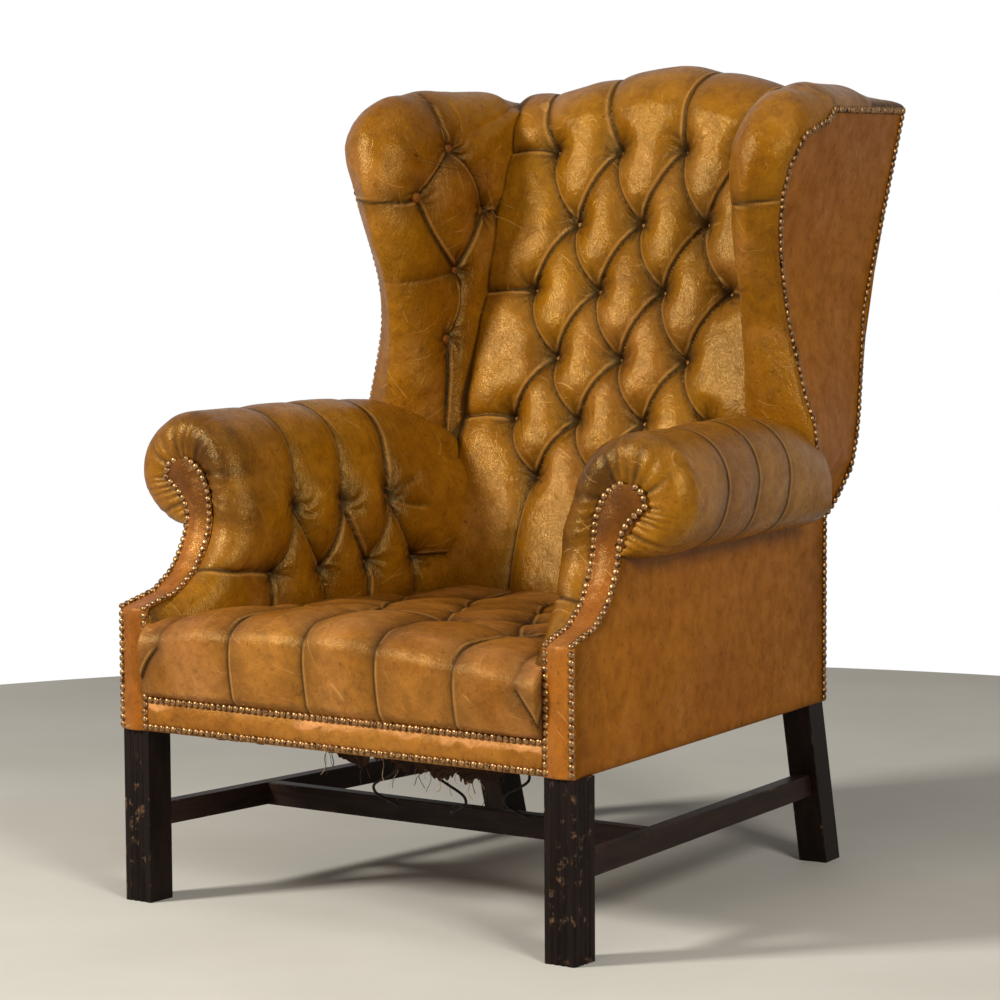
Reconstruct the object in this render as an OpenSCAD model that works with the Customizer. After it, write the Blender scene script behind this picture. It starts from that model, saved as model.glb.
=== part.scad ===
// Tufted leather wing chair, in millimetres, +Z up, front towards -Y.
// The origin is on the floor, in the middle of the chair's own footprint.
// Right is +X and left is -X, as seen by someone who stands in front of the chair.

/* [Legs and stretchers] */
// Width over the outer faces of the front legs
leg_span = 730; // [680:2:780]
// Side of a square front leg
leg_w = 45; // [38:1:52]
// Height of the visible leg, from the floor to the seat frame
leg_h = 233; // [190:1:280]
// Radius of the bead on a front leg's outer corner
leg_bead_r = 4; // [2:0.5:6]
// Radius of the flutes in a front leg's faces
leg_flute_r = 3; // [1.5:0.5:5]
// Depth of those flutes
leg_flute_d = 1.5; // [0.5:0.1:2.5]
// Width from the edge of the inside back to the outer face of a rear post
side_build = 48.5; // [46:0.5:60]
// Width of a rear post
post_w = 42; // [34:1:48]
// Depth of a rear post
post_d = 46; // [38:1:56]
// How far a rear foot is raked back at the floor
foot_rake = 61; // [0:1:90]
// Height of a stretcher's lower edge above the floor
stretcher_z = 99; // [60:1:130]
// Height of the stretchers' section
stretcher_h = 31; // [22:1:38]
// Thickness of the stretchers
stretcher_t = 21; // [16:1:26]
// Distance of the cross stretcher behind the front face
cross_y = 236; // [180:1:300]

/* [Seat frame] */
// Depth of the frame at the seat, from the front face to the back of the rear posts
frame_depth = 722; // [680:1:780]
// Height of the seat rails
rail_h = 62; // [50:1:75]
// Thickness of the seat rails
rail_t = 28; // [22:1:34]
// Thickness of the leather with its lining
leather_t = 3; // [2:0.5:4]
// Leg of a triangular corner block
block_leg = 62; // [50:1:75]
// Height of a corner block
block_h = 40; // [30:1:48]

/* [Back] */
// Height of the crest above the legs, at the middle of the back
crest_rise = 886; // [850:1:925]
// Fall of the crest from the middle to its ends
crest_fall = 36; // [10:1:60]
// Height above the legs at which the rear posts begin to rake back
knee_rise = 322; // [270:1:365]
// Run back for each unit of rise above the knee
back_rake_share = 0.30; // [0.2:0.01:0.36]
// Width of the tufted inside back
back_w = 499; // [470:1:510]
// Thickness of the tufted back at its buttons, down to the webbing
back_t = 50; // [42:1:60]
// Height of a tufted crown above its buttons, on the back
back_crown = 34; // [15:1:40]
// Distance between neighbouring buttons in a row of the back
back_pitch = 110; // [90:1:120]
// Height from the lowest to the highest row of buttons on the back
back_rows_h = 461; // [430:1:480]
// Height of the lowest row of buttons on the back above the legs
back_row_rise = 300; // [267:1:325]
// Height of the crest rail
crest_rail_h = 70; // [50:1:90]

/* [Seat] */
// Height of the seat's front crest above the legs
seat_rise = 165; // [150:1:185]
// Fall of the seat from its front crest to the back
seat_fall = 22; // [0:1:40]
// Height of a tufted crown above its sewn points, on the seat
seat_crown = 13; // [6:1:18]
// Distance between neighbouring sewn points on the seat
seat_pitch = 119; // [100:1:126]
// Thickness of the seat cover with its wadding
seat_t = 44; // [36:1:52]
// How far the seat's front bulges forward
seat_bulge = 9; // [2:1:14]

/* [Arms] */
// Height of the top of an arm's roll above the legs
arm_rise = 409; // [390:1:425]
// Radius of an arm's roll
roll_r = 74; // [64:1:80]
// How far the roll's centre stands outside the chair's side
roll_out = 17; // [8:1:20]
// Width of the arm's frame and of the facing in front of it
stump_w = 38; // [32:1:44]
// Height above the legs at which the facing begins to sweep back
stump_rise = 164; // [155:1:175]
// How far the scroll's head is swept back
sweep = 124; // [90:1:130]
// Radius of the scroll's head
scroll_r = 29; // [24:1:34]
// Thickness of the inside arm at its buttons
arm_t = 25; // [20:1:30]
// Height of a tufted crown above its buttons, on the arm
arm_crown = 22; // [10:1:26]
// Distance between neighbouring buttons on the arm
arm_pitch = 95; // [86:1:104]
// Distance between the two rows of buttons on the arm
arm_row = 86; // [74:1:90]
// Height of the upper row of buttons on the arm above the legs
arm_row_rise = 280; // [270:1:287]
// Thickness of the arm rail
arm_rail_t = 24; // [18:1:26]
// Height of the arm rail's underside above the roll's lowest line
arm_rail_lift = 6; // [4:1:10]

/* [Wings] */
// Height of a wing's top above the legs
wing_rise = 855; // [830:1:875]
// Height of a wing's lower edge above the legs, just above the arm
wing_low_rise = 401; // [398:1:415]
// Distance of a wing's foremost edge in front of the back of the rear posts
wing_depth = 216; // [202:1:232]
// How far a wing's front edge runs back from there to its foot
wing_run = 55; // [40:1:60]
// How far a wing flares out beyond its narrowest place
wing_flare = 43; // [30:1:46]
// Height of a wing's outer edge above the legs, where its nails turn back along the top
wing_edge_rise = 824; // [812:1:829]
// How far a wing stands outside the inside back's edge at its narrowest
wing_out = 87.5; // [80:0.5:95]
// Thickness of a wing's board
wing_board_t = 20; // [14:1:24]
// How far a wing's padded edge stands in front of its nails
wing_pad = 26; // [16:1:30]
// Height of a tufted crown above its buttons, on the wing
wing_crown = 14; // [6:1:18]

/* [Springs and linings] */
// Number of spring wires under the seat
spring_count = 5; // [3:1:5]
// Distance from the rear post to the middle of the spring beside it
spring_margin = 42.4; // [38:0.2:50]
// Diameter of the spring wire
spring_d = 3.8; // [3:0.1:4.5]
// Width of a spring's zigzag
spring_w = 50; // [40:1:56]
// Length of one full wave of a spring
spring_wave = 68; // [64:1:76]
// Radius of the curl at a spring's loose front end
spring_curl_r = 92; // [80:1:100]
// Width of a webbing strip
web_w = 50; // [40:1:56]
// Thickness of a webbing strip
web_t = 2; // [1.5:0.5:3]
// Length of the torn dust cloth that still hangs behind the front rail
cloth_drop = 42; // [30:1:60]

/* [Nails and buttons] */
// Diameter of a decorative nail's head
nail_d = 9.4; // [7:0.1:9.5]
// Height of a nail's head
nail_h = 3.2; // [2:0.1:4]
// Distance between neighbouring nails
nail_pitch = 9.7; // [9.7:0.1:14]
// Diameter of a covered button
button_d = 15; // [10:0.5:20]
// Height of a covered button
button_h = 6; // [4:0.5:8]

/* [Hidden] */

// Clearance between soft solids and their neighbours
soft_gap = 0.4;
// Overrun of a cut past the face that it starts on
cut = 1;
// Sides of a round that is turned or drilled
round_fn = 32;
// Sides of a nail's head and of a button
small_fn = 13;

leather = "peru";
dark_leather = "saddlebrown";
wood = "#2b1c14";
raw_wood = "burlywood";
linen = "tan";
brass = "#a5804a";
steel = "dimgray";

// Heights above the floor, and a wing's place, worked out from the sizes above
seat_z = leg_h + seat_rise;
stump_z = leg_h + stump_rise;
arm_row_z = leg_h + arm_row_rise;
arm_z = leg_h + arm_rise;
back_row_z = leg_h + back_row_rise;
knee_z = leg_h + knee_rise;
wing_low = leg_h + wing_low_rise;
wing_edge_z = leg_h + wing_edge_rise;
wing_z = leg_h + wing_rise;
crest_z = leg_h + crest_rise;
wing_y = frame_depth - wing_depth;
wing_half = back_w / 2 + wing_out;

// Frame
leg_half = leg_span / 2;
rear_half = back_w / 2 + side_build;
rail_top = leg_h + rail_h;
post_front = frame_depth - post_d;
taper_share = (leg_half - rear_half) / frame_depth;
taper = atan(taper_share);

// Outer face of the chair's side at a distance y behind the front face
function side_x(y) = leg_half - taper_share * y;
// Front face of the rear posts, their back face, and the plane that holds the back's buttons
function post_front_y(z) = post_front + back_rake_share * max(0, z - knee_z);
function post_back_y(z) = post_front_y(z) + post_d;
function button_y(z) = post_front - back_t + back_rake_share * (z - knee_z);

// Back face of the crest's leather, the rearmost place of the chair
crest_roll = 22;
crest_pad = 26;
back_face_gap = soft_gap + leather_t;
rearmost_y = post_back_y(crest_z - crest_roll) + back_face_gap;

// Moves everything from the front face to the middle of the chair's own footprint
module centred() translate([0, (seat_bulge - rearmost_y) / 2, 0]) children();
module left_side() mirror([1, 0, 0]) children();
// Inner face of a rear post at a distance y behind the front face
function post_in(y) = side_x(y) - (rail_y + post_w) / cos(taper);

// Linear reading of a table's column, and smooth blends
function col_at(table, key, col) = lookup(key, [for (row = table) [row[0], row[col]]]);
function mix(a, b, t) = a + (b - a) * t;
function smooth(t) = let (c = max(0, min(1, t))) c * c * (3 - 2 * c);
function sum(list, i = 0) = i >= len(list) ? list[0] * 0 : list[i] + sum(list, i + 1);

// Crown of diamond tufting: 0 at the buttons, a share of the crown along the folds between them
fold_share = 0.42;
function tuft(a, b) = let (sa = abs(sin(180 * a)), sb = abs(sin(180 * b)))
    fold_share * max(sa, sb) + (1 - fold_share) * min(sa, sb);
// v counts the rows, and the buttons of every other row are staggered by half the pitch
function diamonds(u, v, pitch) = tuft(u / pitch + v / 2, u / pitch - v / 2);

// Solid through a list of closed rings, all with as many points, each quad folded inwards
function quad(a, b, c, d, pts, mid) =
    norm((pts[a] + pts[d]) / 2 - mid) < norm((pts[b] + pts[c]) / 2 - mid)
        ? [[a, b, d], [a, d, c]] : [[a, b, c], [b, d, c]];
// Triangles across a ring whose first n points run along one side and the rest back along the other
function ladder(ring, n, i = 0, j = 0) = let (last = len(ring) - 1, q = last - j)
    (i == n - 1 && q == n) ? []
    : (q == n || (i < n - 1 && norm(ring[i + 1] - ring[q]) <= norm(ring[i] - ring[q - 1])))
        ? concat([[i, i + 1, q]], ladder(ring, n, i + 1, j))
        : concat([[i, q - 1, q]], ladder(ring, n, i, j + 1));
function backwards(list) = [for (k = [len(list) - 1:-1:0]) list[k]];
// side is the number of points along a ring's first side, or 0 where the end rings are flat
module loft(given, side = 0) {
    n = len(given);
    m = len(given[0]);
    mids = [for (ring = given) sum(ring) / m];
    area = sum([for (j = [0:m - 1]) cross(given[0][j] - mids[0], given[0][(j + 1) % m] - mids[0])]);
    turned = area * (mids[n - 1] - mids[0]) >= 0;
    pts = [for (ring = given) each ring];
    whole = [[for (j = [0:m - 1]) j]];
    first = side > 0 ? ladder(given[0], side) : whole;
    last = side > 0 ? ladder(given[n - 1], side) : whole;
    faces = concat(
        [for (f = first) backwards(f)],
        [for (f = last) [for (j = f) (n - 1) * m + j]],
        [for (i = [0:n - 2], j = [0:m - 1])
            let (k = (j + 1) % m, a = i * m + j, b = i * m + k)
            each quad(a, b, a + m, b + m, pts, (mids[i] + mids[i + 1]) / 2)]);
    polyhedron(points = pts, faces = turned ? [for (f = faces) backwards(f)] : faces);
}

// Points at equal steps along a path, and solids placed on them along given normals
function unit(v) = v / norm(v);
function path_len(p, i = 0) = i >= len(p) - 1 ? 0 : norm(p[i + 1] - p[i]) + path_len(p, i + 1);
function on_path(p, s, i = 0) = let (l = norm(p[i + 1] - p[i]))
    (s <= l || i >= len(p) - 2) ? p[i] + (p[i + 1] - p[i]) * (s / l) : on_path(p, s - l, i + 1);
module aim(p, n) translate(p)
    rotate([0, acos(n[2] / norm(n)), atan2(n[1], n[0])]) children();
dome_shares = [[1, 0], [0.84, 0.5], [0.46, 0.87], [0, 1]];
module dome(d, h) rotate_extrude($fn = small_fn)
    polygon(concat([[0, 0]], [for (row = dome_shares) [d / 2 * row[0], h * row[1]]]));
module button() dome(button_d, button_h);
// Nails' heads, each given as [foot of its axis, direction of its axis], as one set of solids
nail_sides = 6;
function nail_pts(at, n) = let (u = unit(cross(n, abs(n[2]) < 0.9 ? [0, 0, 1] : [1, 0, 0])), v = cross(n, u))
    concat([for (j = [0:nail_sides - 1]) let (a = -360 * j / nail_sides)
        at + nail_d / 2 * (cos(a) * u + sin(a) * v)], [at + nail_h * n]);
module nails(places) color(brass) polyhedron(
    points = [for (q = places) each nail_pts(q[0] + q[1] * soft_gap, q[1])],
    faces = [for (i = [0:len(places) - 1]) let (k = i * (nail_sides + 1)) each concat(
        [[for (j = [nail_sides - 1:-1:0]) k + j]],
        [for (j = [0:nail_sides - 1]) [k + j, k + (j + 1) % nail_sides, k + nail_sides]])]);
// Places at equal steps along a path; normal is a function of the place
function along(path, normal, skip_last = 0) = let (length = path_len(path),
    count = floor(length / nail_pitch)) [for (i = [0:count - skip_last])
    let (p = on_path(path, length * i / count)) [p, unit(normal(p))]];

// Legs, posts and stretchers
post_top = crest_z - crest_fall - crest_pad - crest_roll;
// Length of a side, and points in plan at an offset d outside the side's face, s along it
side_len = frame_depth / cos(taper);
function side_pt(d, s) = [leg_half + d * cos(taper) - s * sin(taper), s * cos(taper) + d * sin(taper)];
module along_side() translate([leg_half, 0, 0]) rotate([0, 0, taper]) children();

// Side view of a raked rear leg, given along the side
foot_s = side_len + foot_rake;
module rear_post() color(wood) along_side() translate([-rail_y, 0, 0]) rotate([90, 0, -90])
    linear_extrude(post_w) polygon([[post_d - foot_s, 0], [-foot_s, 0],
        [-side_len, leg_h], [-side_len, knee_z],
        [-side_len - back_rake_share * (post_top - knee_z), post_top],
        [post_d - side_len - back_rake_share * (post_top - knee_z), post_top],
        [post_d - side_len, knee_z], [post_d - side_len, leg_h]]);
module rear_post_left() centred() left_side() rear_post();
module rear_post_right() centred() rear_post();

stretcher_inset = leg_w * 0.3;
module side_stretcher() {
    z_top = stretcher_z + stretcher_h;
    function leg_s(z) = side_len - post_d + foot_rake * (leg_h - z) / leg_h;
    color(wood) difference() {
        along_side() translate([-stretcher_inset, 0, 0]) rotate([90, 0, -90])
            linear_extrude(stretcher_t) polygon([[-leg_w / 2, stretcher_z], [-leg_w / 2, z_top],
                [-leg_s(z_top), z_top], [-leg_s(stretcher_z), stretcher_z]]);
        translate([leg_half - leg_w - cut, 0, 0]) cube([leg_w + 2 * cut, leg_w, leg_h]);
    }
}
module side_stretcher_left() centred() left_side() side_stretcher();
module side_stretcher_right() centred() side_stretcher();
function cross_reach(y) = leg_half - taper_share * y - (stretcher_inset + stretcher_t) / cos(taper);
module cross_stretcher() centred() {
    y2 = cross_y + stretcher_t;
    color(wood) translate([0, 0, stretcher_z]) linear_extrude(stretcher_h)
        polygon([[-cross_reach(cross_y), cross_y], [cross_reach(cross_y), cross_y],
            [cross_reach(y2), y2], [-cross_reach(y2), y2]]);
}

// Seat frame: dowels join the front rail to the stubs of the front legs
rail_y = leather_t + soft_gap;
dowel_d = 9;
dowel_l = 44;
dowel_shares = [0.28, 0.72];
module dowels() for (s = [0, 1]) mirror([s, 0, 0]) for (share = dowel_shares)
    translate([leg_half - leg_w, rail_y + rail_t / 2, leg_h + rail_h * share])
        rotate([0, 90, 0]) cylinder(d = dowel_d, h = dowel_l, center = true, $fn = round_fn);
module frame_dowels() centred() color(raw_wood) dowels();
module front_rail() centred() color(raw_wood) difference() {
    translate([leg_w - leg_half, rail_y, leg_h]) cube([leg_span - 2 * leg_w, rail_t, rail_h]);
    dowels();
}
flute_shares = [0.3, 0.52, 0.74];
module front_leg() color(wood) {
    linear_extrude(leg_h) difference() {
        union() {
            translate([leg_half - leg_w, 0]) square([leg_w - leg_bead_r, leg_w]);
            translate([leg_half - leg_w, leg_bead_r]) square([leg_w, leg_w - leg_bead_r]);
            translate([leg_half - leg_bead_r, leg_bead_r]) circle(leg_bead_r, $fn = round_fn);
        }
        for (share = flute_shares) {
            translate([leg_half - leg_w * share, leg_flute_d - leg_flute_r])
                circle(leg_flute_r, $fn = round_fn);
            translate([leg_half + leg_flute_r - leg_flute_d, leg_w * share])
                circle(leg_flute_r, $fn = round_fn);
        }
    }
    difference() {
        translate([leg_half - leg_w, rail_y, leg_h]) 
            cube([side_x(leg_w) - rail_y - leg_half + leg_w, leg_w - rail_y, rail_h]);
        dowels();
    }
}
module front_leg_left() centred() left_side() front_leg();
module front_leg_right() centred() front_leg();
module side_rail() color(raw_wood) translate([0, 0, leg_h]) linear_extrude(rail_h) polygon([
    [side_x(leg_w) - rail_y, leg_w], [side_x(leg_w) - rail_y - stump_w, leg_w],
    side_pt(-rail_y - stump_w, side_len - post_d), side_pt(-rail_y, side_len - post_d)]);
module side_rail_left() centred() left_side() side_rail();
module side_rail_right() centred() side_rail();
// A board between the rear posts, with its back face at y and its ends on the posts
module between_posts(y, t, z, h) color(raw_wood) translate([0, 0, z]) linear_extrude(h) {
    x_back = post_in(y);
    x_front = post_in(y - t);
    polygon([[-x_back, y], [x_back, y], [x_front, y - t], [-x_front, y - t]]);
}
module rear_rail() centred() between_posts(frame_depth, rail_t, leg_h, rail_h);
lower_rail_h = 45;
lower_rail_z = seat_z - seat_fall - seat_t + soft_gap;
module lower_back_rail() centred() between_posts(post_front + rail_t, rail_t, lower_rail_z, lower_rail_h);
module corner_block(x, y, turn) translate([x, y, leg_h]) rotate([0, 0, turn])
    linear_extrude(block_h) polygon([[0, 0], [block_leg, 0], [0, block_leg]]);
module corner_blocks() centred() color(raw_wood) for (s = [0, 1]) mirror([s, 0, 0]) {
    corner_block(side_x(leg_w + block_leg) - rail_y - stump_w, leg_w, 90);
    corner_block(post_in(frame_depth), frame_depth - rail_t, 180);
}

// Crest rail: a board in the plane of the back, cut to the curve of the crest
crest_shares = [[0, 0], [0.25, 0.19], [0.5, 0.53], [0.72, 0.92], [1, 1]];
function crest_at(x) = crest_z - crest_fall * col_at(crest_shares, abs(x) / (back_w / 2), 1);
rake = atan(back_rake_share);
rail_front_y = post_front_y(post_top - crest_rail_h);
module crest_rail() centred() color(raw_wood) {
    x_post = post_in(post_back_y(post_top)) - soft_gap;
    z_low = post_top - crest_rail_h;
    top_steps = 12;
    top = [for (k = [0:top_steps]) let (x = mix(x_post, -x_post, k / top_steps))
        [x, (crest_at(x) - crest_pad - z_low) / cos(rake)]];
    translate([0, rail_front_y, z_low]) rotate([90 - rake, 0, 0])
        translate([0, 0, -post_d * cos(rake)]) linear_extrude(post_d * cos(rake))
        polygon(concat([[-x_post, 0], [x_post, 0]], top));
}

// Facing of an arm: shares of the height above the stump, of the sweep back, and of the scroll's
// radius inside the neck's inner line and outside its outer line
facing_shares = [
    [0, 0, 0, 0], [0.085, 0.48, 0, 0], [0.213, 0.74, 0, 0], [0.34, 0.87, 0, 0],
    [0.468, 0.96, 0, 0], [0.596, 1, 0.02, 0], [0.7, 1, 0.07, 0.2], [0.79, 1, 0.16, 0.72],
    [0.856, 1, 0.38, 1.3], [0.931, 1, 0.64, 1.23], [0.973, 1, 1.05, 1], [1, 1, 1.4, 0.5]];
roll_z = arm_z - roll_r;
head_drop = 11;
head_top = roll_z - head_drop + scroll_r;
head_h = head_top - stump_z;
nail_edge = nail_d / 2;
function facing_key(z) = (z - stump_z) / head_h;
function facing_y(z) = sweep * col_at(facing_shares, facing_key(z), 1);
function facing_in(z) = -rail_y - stump_w + scroll_r * col_at(facing_shares, facing_key(z), 2);
function facing_out(z) = -leather_t + scroll_r * col_at(facing_shares, facing_key(z), 3);
facing_levels = [for (row = facing_shares) stump_z + head_h * row[0]];
// Upright strip between two offsets from the side, that follows the facing's sweep
module swept_strip(levels, d_in, d_out, y_in, t) loft([for (z = levels)
    let (y = facing_y(z) + y_in)
    [[side_x(y) + d_in(z), y, z], [side_x(y) + d_out(z), y, z],
        [side_x(y + t) + d_out(z), y + t, z], [side_x(y + t) + d_in(z), y + t, z]]]);
module arm_facing() color(dark_leather) swept_strip(concat([leg_h], facing_levels),
    function (z) facing_in(z) - nail_edge, function (z) facing_out(z) + leather_t, 0, leather_t);
module arm_facing_left() centred() left_side() arm_facing();
module arm_facing_right() centred() arm_facing();
// Arm stump: the sawn upright behind the facing, from the stub of the leg to the arm rail
stump_t = 42;
head_t = 34;
arm_rail_z = roll_z - roll_r + arm_rail_lift;
arm_rail_top = arm_rail_z + arm_rail_t;
stump_levels = concat([rail_top], [for (z = facing_levels) if (z > rail_top && z < arm_rail_top) z],
    [arm_rail_top]);
module arm_stump() color(raw_wood) swept_strip(stump_levels,
    function(z) -rail_y - stump_w, function(z) -rail_y, rail_y, stump_t);
module arm_stump_left() centred() left_side() arm_stump();
module arm_stump_right() centred() arm_stump();
// Turned block behind the scroll's head, on top of the stump
head_y = sweep + rail_y;
head_d = scroll_r - leather_t;
head_x = side_x(sweep) - rail_y - stump_w + scroll_r + nail_edge * 3;
block_r = min(head_d, head_top - scroll_r - arm_rail_top);
module scroll_block() color(raw_wood) translate([head_x, head_y, head_top - scroll_r])
    rotate([-90, 0, 0]) cylinder(r = block_r, h = head_t, $fn = round_fn);
module scroll_block_left() centred() left_side() scroll_block();
module scroll_block_right() centred() scroll_block();

// Arm rail: from the stump to the rear post, wider under the roll
rail_out = 24;
arm_end_y = wing_y + wing_run - 2 * rail_y;
module arm_rail() color(raw_wood) translate([0, 0, arm_rail_z]) linear_extrude(arm_rail_t) {
    y0 = sweep + rail_y + stump_t;
    polygon([[side_x(y0) - rail_y - stump_w, y0], [side_x(y0) + rail_out, y0],
        [side_x(arm_end_y) + rail_out, arm_end_y], [side_x(arm_end_y) - rail_y, arm_end_y],
        side_pt(-rail_y, side_len - post_d), side_pt(-rail_y - stump_w, side_len - post_d)]);
}
module arm_rail_left() centred() left_side() arm_rail();
module arm_rail_right() centred() arm_rail();

// Arm cover and its stuffing. A ring lies in a tilted plane: it follows the facing in front, and
// the inside back and the wing behind. d is the offset outside the chair's side.
arm_low = seat_z - seat_t + soft_gap * 4;
arm_face = -rail_y - stump_w - arm_t;
arm_inner = -rail_y - stump_w - web_t - soft_gap * 2;
core_depth = 24;
front_tilt = 0.25;
rear_yaw = -0.56;
rear_y = button_y(roll_z) - leather_t;
// The cover starts behind the facing, and low down behind the seat's corner
corner_y = 72;
function arm_front_y(z) = max(corner_y, facing_y(z)) + rail_y + soft_gap * 3
    + front_tilt * max(0, z - roll_z);
function arm_rear_y(d, z) = rear_y + rear_yaw * (d - arm_face) + back_rake_share * (z - roll_z)
    * max(0, 1 - (d - arm_face) / (roll_out - arm_face));
// Shares of the arm's length: radius, lift of the centre, and how far the tufting has swelled
arm_ring_shares = [[0, 0.52, -0.14, 0], [0.005, 0.9, -0.06, 0.1], [0.025, 1, -0.01, 0.4],
    [0.08, 1.02, 0, 0.8], [0.16, 1, 0.02, 1], [0.25, 0.98, 0.06, 1], [0.34, 0.96, 0.1, 1],
    [0.42, 0.94, 0.12, 1], [0.51, 0.92, 0.13, 1], [0.6, 0.91, 0.13, 1], [0.7, 0.9, 0.12, 1],
    [0.8, 0.89, 0.08, 0.9], [0.9, 0.87, -0.02, 0.7], [1, 0.83, -0.16, 0.3]];
function ring_r(t) = roll_r * col_at(arm_ring_shares, t, 1);
function ring_z(t) = roll_z + roll_r * col_at(arm_ring_shares, t, 2);
function swell(t) = col_at(arm_ring_shares, t, 3);
function arm_y(t, d, z) = mix(arm_front_y(z), arm_rear_y(d, z), t);
function arm_pt(t, d, z) = let (y = arm_y(t, d, z)) [side_x(y) + d, y, z];
arm_first_y = 246;
arm_buttons_n = 3;
arm_v = [[arm_row_z - arm_row, 0], [arm_row_z, 1]];
function arm_tuft(y, z) = diamonds(y - arm_first_y + arm_pitch / 2, lookup(z, arm_v), arm_pitch);
function arm_edge(z) = smooth((z - arm_low) / arm_row * 1.5);
function face_pt(t, z) = let (p = arm_pt(t, arm_face, z),
    d0 = mix(arm_inner - leather_t, arm_face, swell(t)),
    h = arm_crown * swell(t) * mix(0.3, 1, arm_edge(z)) * arm_tuft(p[1], z)) arm_pt(t, d0 - h, z);
arm_face_rows = 7;
arc_from = 196;
arc_to = -72;
arc_steps = 10;
function roll_pt(t, a, shrink) = let (r = ring_r(t) - shrink, fold = arm_tuft(arm_y(t, 0, roll_z), arm_row_z),
    dip = arm_crown * 0.3 * swell(t) * (1 - fold) * max(0, sin(a + 20)))
    arm_pt(t, roll_out + (r - dip) * cos(a), ring_z(t) + (r - dip) * sin(a));
function arm_ring(t) = concat(
    [for (k = [0:arm_face_rows - 1])
        face_pt(t, mix(arm_low, roll_z - roll_r * 0.45, k / (arm_face_rows - 1)))],
    [for (k = [0:arc_steps]) roll_pt(t, mix(arc_from, arc_to, k / arc_steps), 0)],
    arm_inner_ring(t));
// Inner side of the cover, round the block in front and round the stuffing behind it
core_shares = [[0, 0], [0.09, 0], [0.16, 1], [1, 1]];
function core_mix(t, front, rear) = mix(front, rear, col_at(core_shares, t, 1));
function core_r(t) = core_mix(t, (block_r + soft_gap * 3) / cos(30), ring_r(t) - core_depth);
function core_d(t) = core_mix(t, head_x - side_x(sweep), roll_out);
function core_z(t) = core_mix(t, head_top - scroll_r, ring_z(t));
// Lowest angle of the core, where it meets the arm rail
function core_low(t) = -asin(max(-1, min(0.9, (core_z(t) - arm_rail_top) / core_r(t))));
half_turn = 180;
core_angles = [0, 60, 120, half_turn];
function core_pts(t, shrink) = [for (a = concat([core_low(t)], core_angles, [half_turn - core_low(t)]))
    arm_pt(t, core_d(t) + (core_r(t) - shrink) * cos(a), core_z(t) + (core_r(t) - shrink) * sin(a))];
function roll_end_z(t) = ring_z(t) + ring_r(t) * sin(arc_to);
function arm_inner_ring(t) = concat(
    [arm_pt(t, rail_out + leather_t, max(arm_rail_z - soft_gap, roll_end_z(t) - leather_t)),
        arm_pt(t, rail_out + leather_t, arm_rail_top)], core_pts(t, 0),
    [arm_pt(t, arm_inner, arm_rail_top + soft_gap), arm_pt(t, arm_inner, arm_low)]);
module inside_arm_cover() color(leather) loft([for (row = arm_ring_shares) arm_ring(row[0])],
    arm_face_rows + arc_steps + 1);
module inside_arm_cover_left() centred() left_side() inside_arm_cover();
module inside_arm_cover_right() centred() inside_arm_cover();
core_from = 0.2;
core_to = 0.94;
core_places = concat([core_from],
    [for (row = arm_ring_shares) if (row[0] > core_from && row[0] < core_to) row[0]], [core_to]);
module arm_stuffing() color(linen) loft([for (t = core_places) core_pts(t, soft_gap * 2)]);
module arm_stuffing_left() centred() left_side() arm_stuffing();
module arm_stuffing_right() centred() arm_stuffing();
// Upright webbing strips on the inner faces of the side rail and the arm rail
arm_web_shares = [0.42, 0.62, 0.82];
module arm_webbing() color(linen) for (share = arm_web_shares)
    let (s = side_len * share, d = -rail_y - stump_w)
    translate([0, 0, rail_top - rail_h / 2]) linear_extrude(arm_rail_top - rail_top + rail_h / 2 - soft_gap)
    polygon([side_pt(d, s), side_pt(d - web_t, s), side_pt(d - web_t, s + web_w), side_pt(d, s + web_w)]);
module arm_webbing_left() centred() left_side() arm_webbing();
module arm_webbing_right() centred() arm_webbing();

// Inside back: columns of tufting that roll over the crest, and the stuffing behind them
back_low = seat_z - seat_fall - seat_t + soft_gap;
back_face_t = 24;
back_row_shares = [0, 0.176, 0.364, 0.57, 0.777, 1];
back_v = [for (k = [0:len(back_row_shares) - 1]) [back_row_z + back_rows_h * back_row_shares[k], k]];
function back_edge(x) = smooth((back_w / 2 - abs(x)) / (back_pitch / 4));
function back_foot(z) = smooth((z - seat_z + seat_fall) / back_pitch * 2);
function back_h(x, z) = back_crown * mix(0.25, 1, back_edge(x)) * back_foot(z)
    * diamonds(x, lookup(z, back_v), back_pitch);
flap_z = wing_edge_z + soft_gap;
back_rows_n = 30;
function back_column(x) = let (top = crest_at(x), z_f = top - 2 * crest_roll,
    rows = back_rows_n, y_f = button_y(z_f) - back_h(x, z_f),
    y_t = mix(button_y(top), post_back_y(top), 0.55), z_b = top - crest_roll,
    y_b = post_back_y(z_b) + back_face_gap, z_r = top - crest_pad + leather_t) concat(
    [for (k = [0:rows]) let (z = mix(back_low, z_f, k / rows)) [x, button_y(z) - back_h(x, z), z]],
    [for (a = [30, 60, 90]) [x, y_t - (y_t - y_f) * cos(a), z_f + (top - z_f) * sin(a)]],
    [for (a = [50, 0]) [x, y_t + (y_b - y_t) * cos(a), z_b + (top - z_b) * sin(a)]],
    [[x, post_back_y(flap_z) + back_face_gap, flap_z], [x, post_back_y(flap_z) + soft_gap, flap_z],
        [x, post_back_y(z_r) + soft_gap, z_r], [x, button_y(z_r) + back_face_t, z_r],
        [x, button_y(back_low) + back_face_t, back_low]]);
back_columns = 18;
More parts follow.
